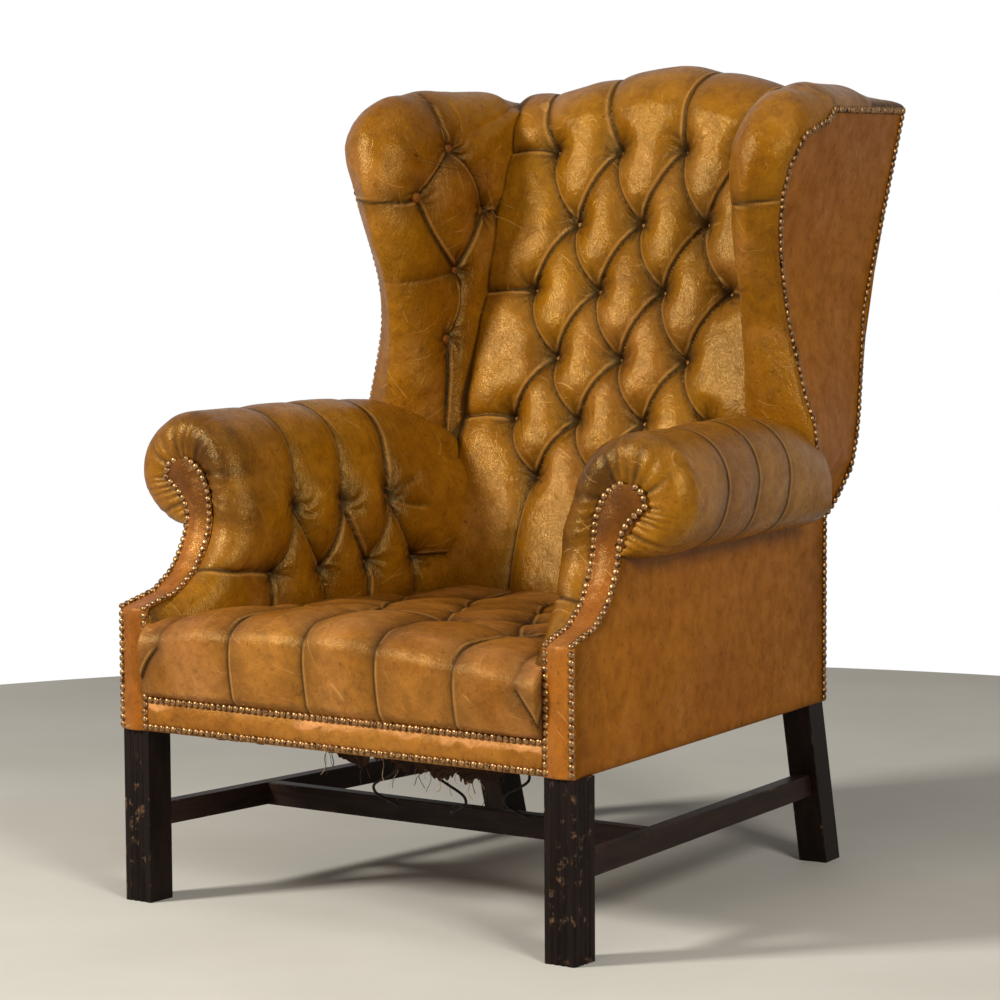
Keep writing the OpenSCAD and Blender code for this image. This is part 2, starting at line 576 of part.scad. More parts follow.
// Points of a column from the seat up over the crest to the flap's hem
back_side_n = back_rows_n + 7;
module inside_back_cover() centred() color(leather)
    loft([for (k = [0:back_columns]) back_column(back_w * (k / back_columns - 0.5))], back_side_n);
stuffing_half = back_w / 2 - leather_t * 2;
module back_stuffing() centred() color(linen) translate([stuffing_half, 0, 0])
    rotate([90, 0, -90]) linear_extrude(2 * stuffing_half) {
    front = back_face_t + soft_gap;
    back = web_t + soft_gap;
    polygon([[-button_y(back_low) - front, back_low], [-button_y(post_top) - front, post_top],
        [-post_front_y(post_top) + back, post_top], [-post_front + back, knee_z],
        [-post_front + back, back_low]]);
}
// Back webbing: strips on the front faces of the crest rail and the lower back rail
back_web_n = 4;
module back_webbing() centred() color(linen) for (k = [0:back_web_n - 1])
    let (span = back_w - 2 * web_w, x = mix(-span / 2, span / 2, k / (back_web_n - 1)))
    translate([x + web_w / 2, 0, 0]) rotate([90, 0, -90]) linear_extrude(web_w)
    polygon([[-post_front, lower_rail_z], [-post_front + web_t, lower_rail_z],
        [-post_front + web_t, knee_z], [-post_front_y(post_top) + web_t, post_top],
        [-post_front_y(post_top), post_top], [-post_front, knee_z]]);

// Outline of the chair behind the arms: half width of the outside back, and a wing's front edge,
// in shares of the flare and the run of the wing's edge
back_edge_shares = [[0, 0], [0.315, 0], [0.34, 0.37], [0.37, 0.7], [0.4, 0.98], [0.455, 1],
    [0.5, 0.93], [0.66, 0.56], [1, 0.93]];
function back_x(z) = rear_half + (wing_half + wing_flare - rear_half) / 2
    * col_at(back_edge_shares, (z - leg_h) / (wing_edge_z - leg_h), 1);
wing_foot = roll_z - roll_r + arm_rail_lift / 2;
wing_shares = [[0, -0.44, 1], [0.072, -0.1, 1], [0.135, 0.75, 1], [0.172, 0.91, 1], [0.241, 0.86, 0.96],
    [0.309, 0.56, 0.89], [0.379, 0.33, 0.87], [0.447, 0.12, 0.82], [0.517, 0, 0.71], [0.585, 0, 0.55],
    [0.653, 0.07, 0.33], [0.724, 0.21, 0.13], [0.792, 0.4, 0], [0.862, 0.65, 0.04], [0.93, 1, 0.27],
    [0.969, 1, 1.44], [1, 0.85, 1.98]];
function wing_key(z) = (z - wing_foot) / (wing_edge_z - wing_foot);
function wing_out_x(z) = wing_half + wing_flare * col_at(wing_shares, wing_key(z), 1);
function wing_front_y(z) = wing_y + wing_run * col_at(wing_shares, wing_key(z), 2);
wing_levels = [for (row = wing_shares) mix(wing_foot, wing_edge_z, row[0])];
module outside_wing() color(leather) loft([for (z = wing_levels) let (xf = wing_out_x(z),
    yf = wing_front_y(z), xb = back_x(z), yb = post_back_y(z))
    [[xf - leather_t, yf, z], [xf, yf, z], [xb, yb, z], [xb - leather_t, yb, z]]]);
module outside_wing_left() centred() left_side() outside_wing();
module outside_wing_right() centred() outside_wing();

// Wing board, from just above the arm to the wing's upper edge, fixed to the rear post
board_gap = 10;
board_slack = soft_gap * 4;
board_levels = concat([wing_low], [for (z = wing_levels) if (z > wing_low && z < wing_edge_z) z],
    [wing_edge_z - soft_gap]);
function post_x(z) = side_pt(-rail_y, side_len - post_d + back_rake_share * max(0, z - knee_z))[0];
// Outer face of the outside wing at a height, at a distance y behind the front face
function panel_x(z, y) = mix(wing_out_x(z), back_x(z),
    (y - wing_front_y(z)) / (post_back_y(z) - wing_front_y(z)));
module wing_board() color(raw_wood) loft([for (z = board_levels) let (yf = wing_front_y(z) + board_gap,
    xf = panel_x(z, yf) - leather_t - board_slack, yb = post_back_y(z) - soft_gap * 2,
    xb = panel_x(z, yb) - leather_t - board_slack)
    [[xf - wing_board_t, yf, z], [xf, yf, z], [xb, yb, z], [post_x(z) + soft_gap / 2, yb, z],
        [post_x(z) + soft_gap / 2, yb - post_d / 2, z]]]);
module wing_board_left() centred() left_side() wing_board();
module wing_board_right() centred() wing_board();

// Wing cover: tufted inner face, padded front edge, and a padded top over the board.
// Sewn points: height above the wing's foot and distance behind its front edge, as shares
wing_button_shares = [[0.905, 0.4], [0.78, 0.18], [0.745, 0.72], [0.59, 0.5], [0.415, 0.42]];
dimple_r = 46;
wing_drop = 30;
function wing_button_z(b) = mix(wing_foot, wing_edge_z, b[0]);
function wing_in_x(z) = wing_half - wing_pad * 2.3;
function wing_face(z, t, h) = [mix(wing_in_x(z), back_w / 2 + soft_gap * 2, t) - h,
    mix(wing_front_y(z) - wing_pad / 2, button_y(z), t), z];
function wing_h(z, t) = let (p = wing_face(z, t, 0),
    near = min([for (b = wing_button_shares) norm(p - wing_face(wing_button_z(b), b[1], 0))]))
    wing_crown * smooth(near / dimple_r) * (1 - smooth(4 * t - 3));
face_shares = [1, 0.86, 0.72, 0.58, 0.42, 0.28, 0.14, 0];
edge_angles = [150, 115, 80, 45];
// Each ring is level but for the lowest one, which falls towards the back as the arm's roll does
function wing_head_ring(z, drop = 0) = let (xf = wing_out_x(z), yf = wing_front_y(z),
    xi = wing_in_x(z), xc = (xf + xi) / 2) concat(
    [[back_w / 2 + soft_gap * 2, button_y(z - drop) + back_face_t, z - drop]],
    [for (t = face_shares) wing_face(z - drop * t, t, wing_h(z - drop * t, t))],
    [for (a = edge_angles) [xc + (xf - xi) / 2 * cos(a), yf - wing_pad * sin(a), z]],
    [[xf, yf - soft_gap, z]]);
function wing_ring(z, drop = 0) = let (xf = panel_x(z, wing_front_y(z) + board_gap) - leather_t,
    yf = wing_front_y(z) + board_gap, y4 = button_y(z) + back_face_t, yb = post_back_y(z) - post_d / 2,
    x4 = mix(xf - wing_board_t, post_x(z), (y4 - yf) / (yb - yf))) concat(
    wing_head_ring(z, drop),
    [[xf - soft_gap, wing_front_y(z) - soft_gap, z], [xf - soft_gap, yf - leather_t, z],
        [xf - wing_board_t - leather_t, yf - leather_t, z], [x4 - leather_t * 1.5, y4, z - drop]]);
// The padded top goes over the board and the outside leather and draws in towards its highest line
wing_top_shares = [[0, 0], [0.45, 0.06], [0.8, 0.22], [1, 0.5]];
function wing_top_ring(share, draw) = let (z = wing_edge_z, xf = wing_out_x(z), yf = wing_front_y(z),
    yb = post_back_y(z), xb = back_x(z), ring = concat(wing_head_ring(z),
        [[mix(xf, xb, 0.4), mix(yf, yb, 0.4), z], [mix(xf, xb, 0.8), mix(yf, yb, 0.8), z], [xb, yb, z],
            [back_w / 2 + leather_t * 6, yb, z]]), mid = sum(ring) / len(ring))
    [for (p = ring) let (q = mix(p, mid, draw))
        [max(q[0], back_w / 2 + soft_gap * 2), q[1], z + soft_gap + (wing_z - z) * share]];
module inside_wing_cover() color(leather) {
    levels = [for (z = wing_levels) if (z > wing_low + rail_y) z];
    tops = [for (row = wing_top_shares) wing_top_ring(row[0], row[1])];
    loft(concat([wing_ring(wing_low + soft_gap, wing_drop)], [for (z = levels) wing_ring(z)], tops),
        len(face_shares) + len(edge_angles) + 2);
}
module inside_wing_cover_left() centred() left_side() inside_wing_cover();
module inside_wing_cover_right() centred() inside_wing_cover();

// Seat: columns from the front border over the front crest to the back, with sewn points
border_top = leg_h + nail_pitch * 5;
seat_side = -arm_face + leather_t * 4.5;
seat_row = 110;
seat_first_y = 135;
seat_back_y = button_y(back_low) - soft_gap * 2;
function seat_top(y) = seat_z - seat_fall * smooth(y / seat_back_y);
function seat_under(y) = seat_z - seat_t - seat_fall * y / seat_back_y;
function seat_h(x, y) = seat_crown * (1 - diamonds(x + seat_pitch / 2, max(0, (y - seat_first_y) / seat_row),
    seat_pitch)) * smooth(y / seat_first_y * 2);
// A column at a share u of the half width; past 1 it lies in the corner beside the facing
function seat_x(u, y) = u <= 1 ? u * (side_x(y) - seat_side)
    : mix(side_x(y) - seat_side, side_x(y) - rail_y - stump_w - nail_edge - soft_gap, u - 1);
top_rows = 10;
seat_front_shares = [[0, 0, 0], [0.3, 0.55, 0.35], [0.6, 0.9, 0.75], [0.85, 1, 0.8], [1, 0.45, 0]];
function seat_column(u, side) = let (y_end = abs(u) > 1 ? corner_y : seat_back_y,
    z1 = seat_z - seat_crown, y_in = rail_y * 3, fold = seat_crown * 0.3 * (1 - abs(sin(180 *
    (seat_x(abs(u), 0) / seat_pitch + 0.5))))) concat(
    [for (row = seat_front_shares) let (y = -seat_bulge * row[1] + fold * row[2])
        [side * seat_x(abs(u), y), y, mix(border_top + soft_gap, z1, row[0])]],
    [for (k = [0:top_rows]) let (y = mix(rail_y * 3, y_end, pow(k / top_rows, 1.1)),
        x = side * seat_x(abs(u), y))
        [x, y, seat_top(y) - seat_h(x, y)]],
    [for (p = [[y_end, seat_under(y_end)], [y_in, seat_under(y_in)],
        [y_in, rail_top + soft_gap], [leather_t, rail_top + soft_gap],
        [leather_t, border_top + soft_gap]]) [side * seat_x(abs(u), p[0]), p[0], p[1]]]);
seat_columns = 18;
seat_shares = concat([2, 1.02], [for (k = [0:seat_columns / 2 - 1]) 1 - 2 * k / seat_columns]);
module seat_cover() centred() color(leather) loft(concat(
    [for (u = seat_shares) seat_column(-u, -1)], [seat_column(0, 1)],
    [for (k = [len(seat_shares) - 1:-1:0]) seat_column(seat_shares[k], 1)]));
hessian_t = 1.5;
hessian_z = rail_top + spring_d + soft_gap;
module seat_plan(side, front) polygon([[-side_x(front) + side, front], [side_x(front) - side, front],
    [side_x(seat_back_y) - side, seat_back_y], [-side_x(seat_back_y) + side, seat_back_y]]);
module seat_hessian() centred() color(linen) translate([0, 0, hessian_z])
    linear_extrude(hessian_t) seat_plan(rail_y + stump_w + web_t + soft_gap, rail_y * 4);
module seat_stuffing() centred() color(linen) intersection() {
    z_low = hessian_z + hessian_t + soft_gap;
    translate([0, 0, z_low]) linear_extrude(seat_z) seat_plan(seat_side + leather_t, rail_y * 4);
    translate([leg_half, 0, 0]) rotate([90, 0, -90]) linear_extrude(leg_span) polygon([
        [0, z_low], [-seat_back_y, z_low], [-seat_back_y, seat_under(seat_back_y) - soft_gap],
        [0, seat_under(0) - soft_gap]]);
}

// Zigzag springs: fixed to the rear rail, loose and curled down in front
spring_gap = 2 * (post_in(frame_depth) - spring_margin) / (spring_count - 1);
spring_back_y = frame_depth - rail_t / 2;
spring_z = rail_top + spring_d / 2;
curl_y = leg_w + rail_t + spring_curl_r + spring_d * 6;
spring_run = spring_back_y - curl_y;
curl_turn = 128;
spring_len = spring_run + spring_curl_r * curl_turn * PI / 180;
waves = floor(spring_len / spring_wave);
rings_per_wave = 6;
wire_sides = 6;
function spring_line(s) = s <= spring_run ? [0, spring_back_y - s, spring_z]
    : let (a = (s - spring_run) / spring_curl_r * 180 / PI)
    [0, curl_y - spring_curl_r * sin(a), spring_z - spring_curl_r * (1 - cos(a))];
wave_shares = [[0, 0.62], [0.17, 1], [0.33, 0.62], [0.5, -0.62], [0.67, -1], [0.83, -0.62], [1, 0.62]];
function spring_pt(k) = let (s = spring_len * k / (waves * rings_per_wave), w = k / rings_per_wave)
    spring_line(s) + [spring_w / 2 * lookup(w - floor(w), wave_shares), 0, 0];
// Up direction of the zigzag's own sheet at a point, square to the wire there
function spring_ring(k) = let (p = spring_pt(k), n = waves * rings_per_wave,
    t = unit(spring_pt(min(n, k + 1)) - spring_pt(max(0, k - 1))),
    s = spring_len * k / n, a = max(0, (s - spring_run) / spring_curl_r * 180 / PI),
    up = unit([0, -sin(a), cos(a)] - t * ([0, -sin(a), cos(a)] * t)), v = cross(t, up))
    [for (j = [0:wire_sides - 1]) p + spring_d / 2 * (cos(360 * j / wire_sides) * up
        + sin(360 * j / wire_sides) * v)];
module seat_springs() centred() color(steel) for (k = [0:spring_count - 1])
    translate([spring_gap * (k - (spring_count - 1) / 2), 0, 0])
    mirror([k % 2, 0, 0]) loft([for (i = [0:waves * rings_per_wave]) spring_ring(i)]);
least_leg_gap = min([for (k = [0:waves * rings_per_wave - 7], m = [4:6])
    norm(spring_pt(k) - spring_pt(k + m))]) - spring_d;
echo(least_gap_of_a_spring_to_itself = least_leg_gap);
clip_l = 16;
clip_h = spring_d * 2;
module spring_clips() centred() color(steel) for (k = [0:spring_count - 1])
    translate([spring_gap * (k - (spring_count - 1) / 2) - clip_l / 2, spring_back_y + spring_d, rail_top])
    cube([clip_l, spring_d, clip_h]);
// Outside panels and the front border
outside_levels = concat([leg_h], [for (z = facing_levels) if (z < wing_foot) z], [wing_foot - soft_gap]);
module outside_arm() color(leather) loft([for (z = outside_levels)
    let (yf = facing_y(z) + rail_y, xf = side_x(yf), xb = side_x(frame_depth))
    [[xf - leather_t, yf, z], [xf, yf, z], [xb, frame_depth, z], [xb - leather_t, frame_depth, z]]]);
module outside_arm_left() centred() left_side() outside_arm();
module outside_arm_right() centred() outside_arm();
outside_back_levels = concat([leg_h], [for (row = back_edge_shares) if (row[0] > 0)
    mix(leg_h, wing_edge_z, row[0])]);
module outside_back() centred() color(leather) loft([for (z = outside_back_levels)
    let (x = back_x(z), y = post_back_y(z) + soft_gap)
    [[-x, y, z], [x, y, z], [x, y + leather_t, z], [-x, y + leather_t, z]]]);
border_half = leg_half - rail_y - stump_w - nail_edge - soft_gap;
module front_border() centred() color(leather)
    translate([-border_half, 0, leg_h]) cube([2 * border_half, leather_t, border_top - leg_h]);

// Buttons, seated on the tufting at the rows' own places
back_normal = [0, -1, back_rake_share];
module back_buttons() centred() color(leather) for (k = [0:len(back_row_shares) - 1])
    let (z = back_v[k][0], n = k % 2 == 0 ? 3 : 4) for (j = [0:n - 1])
    aim([back_pitch * (j - (n - 1) / 2), button_y(z) - soft_gap, z], back_normal) button();
module arm_button(y, z) aim([side_x(y) + arm_face - soft_gap, y, z], [-1, -taper_share, 0]) button();
module arm_buttons() centred() color(leather) for (s = [0, 1]) mirror([s, 0, 0])
    for (k = [0:arm_buttons_n]) {
        if (k < arm_buttons_n) arm_button(arm_first_y + arm_pitch * k, arm_row_z);
        arm_button(arm_first_y + arm_pitch * (k - 0.5), arm_row_z - arm_row);
    }
module wing_buttons() centred() color(leather) for (s = [0, 1]) mirror([s, 0, 0])
    for (b = wing_button_shares) let (z = wing_button_z(b), p = wing_face(z, b[1], 0),
        f = wing_face(z, 0, 0), r = wing_face(z, 1, 0))
        aim(p - [soft_gap * 2, 0, 0], [-(r[1] - f[1]), r[0] - f[0], 0]) button();

// Nails: rows on the front border, round each facing, along each wing and down the back edges
module front_nails() centred() nails([for (z = [leg_h + nail_pitch * 0.6, border_top - nail_pitch * 0.6])
    each along([[-border_half + nail_edge, 0, z], [border_half - nail_edge, 0, z]],
        function (p) [0, -1, 0])]);
facing_low = leg_h + nail_pitch * 0.6;
function facing_path(side) = [for (z = concat([facing_low], facing_levels))
    let (y = facing_y(z), d = side > 0 ? facing_out(z) : facing_in(z)) [side_x(y) + d, y, z]];
facing_normal = function (p) let (dz = nail_d, dy = facing_y(p[2] + dz) - facing_y(p[2])) [0, -dz, dy];
module facing_nails() nails(concat(along(facing_path(-1), facing_normal),
    along(facing_path(1), facing_normal, 1)));
module facing_nails_left() centred() left_side() facing_nails();
module facing_nails_right() centred() facing_nails();
function panel_line(z) = let (f = [wing_out_x(z), wing_front_y(z), z], b = [back_x(z), post_back_y(z), z])
    [f, b, unit(b - f)];
panel_normal = function (p) let (l = panel_line(p[2])) [l[2][1], -l[2][0], 0];
module wing_nails() {
    z0 = wing_foot + arm_row;
    top = wing_edge_z - nail_edge;
    levels = concat([z0], [for (z = wing_levels) if (z > z0 && z < top) z]);
    upper = panel_line(top);
    nails(along(concat([for (z = levels) let (l = panel_line(z)) l[0] + l[2] * nail_edge],
        [upper[0] + upper[2] * nail_edge, upper[1] - upper[2] * nail_d * 2]), panel_normal));
}
module wing_nails_left() centred() left_side() wing_nails();
module wing_nails_right() centred() wing_nails();
module back_nails() {
    top = wing_edge_z - nail_edge;
    side_y = frame_depth - nail_edge;
    levels = [for (row = back_edge_shares) let (z = mix(leg_h, wing_edge_z, row[0]))
        if (z > wing_foot + nail_edge && z < top) z];
    nails(along(concat([for (z = [facing_low, wing_foot - nail_edge]) [side_x(side_y), side_y, z]],
        [for (z = concat(levels, [top])) let (l = panel_line(z)) l[1] - l[2] * nail_edge]),
        function (p) p[2] < wing_foot ? [1, taper_share, 0] : panel_normal(p)));
}
module back_nails_left() centred() left_side() back_nails();
module back_nails_right() centred() back_nails();

// Torn remnant of the dust cloth, tacked under the front rail
cloth_t = 1.2;
cloth_y = rail_y + rail_t - cloth_t * 2;
cloth_shares = [[0, 0.2], [0.06, 0.7], [0.13, 0.55], [0.2, 0.9], [0.28, 0.62], [0.36, 0.8], [0.45, 0.5],
    [0.53, 0.72], [0.6, 0.95], [0.68, 0.7], [0.76, 1], [0.84, 0.66], [0.92, 0.8], [1, 0.25]];
cloth_half = border_half * 0.79;
module dust_cloth() centred() color(linen) translate([0, cloth_y + cloth_t, 0]) rotate([90, 0, 0])
    linear_extrude(cloth_t) polygon(concat([[cloth_half, leg_h], [-cloth_half, leg_h]],
    [for (row = cloth_shares) [cloth_half * (2 * row[0] - 1), leg_h - cloth_drop * row[1]]]));

front_leg_left();
front_leg_right();
rear_post_left();
rear_post_right();
side_stretcher_left();
side_stretcher_right();
cross_stretcher();
front_rail();
side_rail_left();
side_rail_right();
rear_rail();
corner_blocks();
frame_dowels();
crest_rail();
lower_back_rail();
arm_stump_left();
arm_stump_right();
scroll_block_left();
scroll_block_right();
arm_rail_left();
arm_rail_right();
wing_board_left();
wing_board_right();
seat_springs();
spring_clips();
seat_hessian();
seat_stuffing();
back_webbing();
back_stuffing();
arm_webbing_left();
arm_webbing_right();
arm_stuffing_left();
arm_stuffing_right();
seat_cover();
inside_back_cover();
inside_arm_cover_left();
inside_arm_cover_right();
inside_wing_cover_left();
inside_wing_cover_right();
outside_arm_left();
outside_arm_right();
outside_wing_left();
outside_wing_right();
outside_back();
front_border();
arm_facing_left();
arm_facing_right();
back_buttons();
arm_buttons();
wing_buttons();
front_nails();
facing_nails_left();
facing_nails_right();
wing_nails_left();
wing_nails_right();
back_nails_left();
back_nails_right();
dust_cloth();
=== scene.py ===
"""Dressed scene of a tufted leather wing chair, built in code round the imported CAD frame."""

import math

import bmesh
import bpy
import numpy as np
from mathutils import Matrix, Vector

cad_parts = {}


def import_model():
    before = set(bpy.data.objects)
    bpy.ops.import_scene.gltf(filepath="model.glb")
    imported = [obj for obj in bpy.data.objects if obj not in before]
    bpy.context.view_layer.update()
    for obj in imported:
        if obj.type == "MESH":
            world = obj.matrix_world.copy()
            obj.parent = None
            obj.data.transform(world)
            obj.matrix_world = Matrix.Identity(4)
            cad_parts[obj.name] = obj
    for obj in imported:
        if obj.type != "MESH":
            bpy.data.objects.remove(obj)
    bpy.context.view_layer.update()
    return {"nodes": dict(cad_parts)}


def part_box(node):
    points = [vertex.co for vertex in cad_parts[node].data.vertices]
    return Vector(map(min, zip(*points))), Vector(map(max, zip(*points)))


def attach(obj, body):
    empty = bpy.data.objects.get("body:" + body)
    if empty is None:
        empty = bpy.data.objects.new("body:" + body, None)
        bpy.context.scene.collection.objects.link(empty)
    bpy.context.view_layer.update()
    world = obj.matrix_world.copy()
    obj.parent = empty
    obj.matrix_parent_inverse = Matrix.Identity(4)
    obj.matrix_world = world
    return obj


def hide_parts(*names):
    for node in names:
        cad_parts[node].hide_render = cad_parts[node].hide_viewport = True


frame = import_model()

# Pieces are worked out in millimetres from the front face of the legs, as the source does
MM = 0.001
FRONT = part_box("front_leg_left")[0].y
LEG_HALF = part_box("front_leg_right")[1].x / MM
FRAME_DEPTH = 722.0
TAPER = 67.0 / FRAME_DEPTH
KNEE_Z, RAKE = 555.0, 0.30
BUTTON_PLANE = 626.0
BACK_HALF = 250.5
ARM_FACE = -66.4
ROLL_OUT, ROLL_Z, ROLL_R = 17.0, 568.0, 74.0
SIDES = ((-1, "left"), (1, "right"))
JOIN = 1e-6


def side_x(y):
    """Outer face of the chair's side."""
    return LEG_HALF - TAPER * y


def button_y(z):
    """Plane that holds the buttons of the back."""
    return BUTTON_PLANE + RAKE * (z - KNEE_Z)


def post_back_y(z):
    return FRAME_DEPTH + RAKE * np.maximum(0, z - KNEE_Z)


def smooth(t):
    t = np.clip(t, 0, 1)
    return t * t * (3 - 2 * t)


def unit(v):
    return v / np.maximum(np.linalg.norm(v, axis=-1, keepdims=True), 1e-9)


# Large odd numbers that scatter the lattice's cells
CELL_HASH, SEED_HASH, MIX_HASH = np.array([374761393, 668265263, 1440670441]), 974634777, 1274126177


def noise(p, scale, seed):
    """Smooth lattice noise from -1 to 1 at points p, with features of the given size."""
    q = np.asarray(p, float) / scale
    cell = np.floor(q).astype(np.int64)
    f = q - cell
    f = f * f * (3 - 2 * f)
    total = np.zeros(len(q))
    for corner in range(8):
        d = np.array([corner & 1, corner >> 1 & 1, corner >> 2 & 1])
        h = (cell + d) @ CELL_HASH + seed * SEED_HASH
        h = (h ^ (h >> 13)) * MIX_HASH
        h = (h ^ (h >> 16)) & 0xFFFF
        total += np.prod(np.where(d, f, 1 - f), axis=1) * (h / 32767.5 - 1)
    return total


def waves(grid, *layers):
    """Slow waves over a grid of points, from layers of (size, seed, height)."""
    flat = grid.reshape(-1, 3)
    return sum(noise(flat, size, seed) * height for size, seed, height in layers).reshape(grid.shape[:-1])


def lengths_along(path):
    """Length along a path at each of its points."""
    return np.concatenate([[0], np.cumsum(np.linalg.norm(np.diff(path, axis=0), axis=1))])


def path_at(points, shares):
    """Points at shares of the length of a path."""
    points = np.asarray(points, float)
    s = lengths_along(points)
    return np.stack([np.interp(np.asarray(shares) * s[-1], s, column) for column in points.T], 1)


def rounded(points, times):
    """Cuts a path's corners and keeps its ends."""
    p = np.asarray(points, float)
    for _ in range(times):
        a = p[:-1] * 0.75 + p[1:] * 0.25
        b = p[:-1] * 0.25 + p[1:] * 0.75
        p = np.concatenate([p[:1], np.stack([a, b], 1).reshape(-1, p.shape[1]), p[-1:]])
    return p


# Quilting: leather pulled down along folds and swollen between them


class Quilt:
    """Folds drawn in a cover's flat pattern. A fold is a line, and a floor for each of its points."""

    POWER = 4.0
    # A fold's line of painted shade, the reach of its lifted lip, and where the lip's painted highlight runs
    # and how wide
    LINE, LIP_REACH, LIP_AT, LIP_WIDE = 1.9, 6, 4.2, 1.7
    # A button's reach, the reach of the painted shade in its pit, and where the gathers round it run, how
    # wide and how high
    BUTTON_REACH, PIT, RING_AT, RING_WIDE, RING_HIGH = 50, 9.5, 17, 11, 1.15

    def __init__(self, width, seed=1):
        self.width = width
        self.folds, self.buttons = [], []
        self.random = np.random.default_rng(seed)

    def fold(self, a, b, ends=(0.0, 0.0), middle=0.6, bow=None, lip=1.9, dark=1.0, side=None):
        """A fold from a to b. ends and middle are floors, bow is how far it bulges sideways."""
        a, b = np.array(a, float), np.array(b, float)
        t = np.linspace(0, 1, 13)
        along = b - a
        length = np.linalg.norm(along)
        normal = np.array([-along[1], along[0]]) / length
        if bow is None:
            bow = self.random.uniform(-0.05, 0.05) * length
        points = a + t[:, None] * along + (bow * 4 * t * (1 - t))[:, None] * normal
        hump = np.sin(np.pi * t) ** 0.55
        floors = (ends[0] + (ends[1] - ends[0]) * t
                  + np.maximum(0, middle - np.interp(t, [0, 1], ends)) * hump)
        self.folds.append((points, floors, lip * (side or self.random.choice([-1, 1])), dark))

    def seam(self, points, floor, dark=0.9):
        points = np.asarray(points, float)
        self.folds.append((points, np.full(len(points), float(floor)), 0.0, dark))

    def button(self, *centres):
        self.buttons += [np.array(c, float) for c in centres]

    def measure(self, pattern):
        """Height share from 0 to 1, lift in millimetres, painted shade of the nearest fold, seam or button,
        and the painted highlight on a fold's lip.
        """
        p = pattern.reshape(-1, 2)
        total, fold, lift, pale = (np.zeros(len(p)) for _ in range(4))
        for points, floors, lip, dark in self.folds:
            low, high = points.min(0) - self.width, points.max(0) + self.width
            near = np.nonzero(((p > low) & (p < high)).all(1))[0]
            if not len(near):
                continue
            q = p[near]
            best, floor, side, along = (np.full(len(q), v) for v in (1e9, 0.0, 0.0, 0.0))
            for i in range(len(points) - 1):
                a, ab = points[i], points[i + 1] - points[i]
                t = np.clip((q - a) @ ab / max(ab @ ab, 1e-9), 0, 1)
                off = q - a - t[:, None] * ab
                d = np.hypot(off[:, 0], off[:, 1])
                closer = d < best
                best = np.where(closer, d, best)
                floor = np.where(closer, floors[i] + t * (floors[i + 1] - floors[i]), floor)
                side = np.where(closer, np.sign(ab[0] * off[:, 1] - ab[1] * off[:, 0]), side)
                along = np.where(closer, (i + t) / (len(points) - 1), along)
            x = np.minimum(best / self.width, 1)
            share = floor + (1 - floor) * np.sqrt(1 - (1 - x) ** 2)
            total[near] += np.maximum(share, 0.04) ** -self.POWER - 1
            # Painted shade: a dark line along each fold and seam
            fold[near] = np.maximum(fold[near], dark * np.exp(-((best / self.LINE) ** 2)))
            ends = np.clip(np.minimum(along, 1 - along) * 6, 0, 1)
            lift[near] += lip * side * np.exp(-best / self.LIP_REACH) * ends
            # Painted highlight: a light band on the lifted side of a fold
            rim = np.exp(-(((best - self.LIP_AT) / self.LIP_WIDE) ** 2)) * (side * lip > 0) * ends * dark
            pale[near] = np.maximum(pale[near], rim)
        for k, centre in enumerate(self.buttons):
            off = p - centre
            r = np.hypot(off[:, 0], off[:, 1])
            near = np.nonzero(r < self.BUTTON_REACH)[0]
            a = np.arctan2(off[near, 1], off[near, 0]) + 0.25 * np.sin(r[near] / 9 + k)
            wave = np.cos(a * 7 + k * 1.7 + 1.6 * np.sin(a * 2 + k)) + 0.6 * np.cos(a * 13 + k * 2.9)
            ring = np.exp(-(((r[near] - self.RING_AT) / self.RING_WIDE) ** 2))
            lift[near] += self.RING_HIGH * wave * ring
            # Painted shade in each button's pit and in the troughs of the gathers round it
            fold[near] = np.maximum(fold[near], 0.9 * np.exp(-((r[near] / self.PIT) ** 4)))
            fold[near] = np.maximum(fold[near], 0.5 * ring * np.clip(-wave - 0.5, 0, 1))
        height = (1 + total) ** (-1 / self.POWER)
        return [v.reshape(pattern.shape[:-1]) for v in (height, lift, fold, pale)]


# Meshes


def node_points(node):
    """A CAD node's points in millimetres from the legs' front, folded onto the side where x is positive."""
    co = np.array([v.co for v in frame["nodes"][node].data.vertices], float) / MM
    co[:, 1] -= FRONT / MM
    co[:, 0] = np.abs(co[:, 0])
    return co


def at_levels(co):
    """Each height that the points stand at, with the points there, from the lowest up."""
    for z in sorted(set(np.round(co[:, 2], 2))):
        yield z, co[np.abs(co[:, 2] - z) < 0.02]


def joined(node):
    """A CAD node's mesh to work on, with its doubled points joined."""
    work = bmesh.new()
    work.from_mesh(frame["nodes"][node].data)
    bmesh.ops.remove_doubles(work, verts=work.verts, dist=JOIN)
    return work


def write_back(work, mesh):
    work.to_mesh(mesh)
    work.free()


def link(name, data):
    thing = bpy.data.objects.new(name, data)
    bpy.context.scene.collection.objects.link(thing)
    return thing


def add_piece(name, mesh, material, nodes=()):
    """Puts a mesh on the chair's one body, in place of the CAD nodes that it stands for."""
    mesh.materials.clear()
    mesh.materials.append(material)
    piece = link(name, mesh)
    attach(piece, "root")
    if nodes:
        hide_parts(*nodes)
    return piece


def new_piece(name, points, faces, material, slot, nodes=(), **attributes):
    """A smooth piece from points in millimetres, with named values at its points for the shader."""
    mesh = bpy.data.meshes.new(name)
    points = np.asarray(points, float) * MM + np.array([0, FRONT, 0])
    mesh.from_pydata(points.tolist(), [], [list(map(int, f)) for f in faces])
    mesh.validate()
    work = bmesh.new()
    work.from_mesh(mesh)
    bmesh.ops.recalc_face_normals(work, faces=work.faces)
    write_back(work, mesh)
    for key, values in attributes.items():
        mesh.attributes.new(key, "FLOAT", "POINT").data.foreach_set("value", np.asarray(values, np.float32))
    mesh.polygons.foreach_set("use_smooth", [True] * len(mesh.polygons))
    return add_piece(name, mesh, material, nodes)


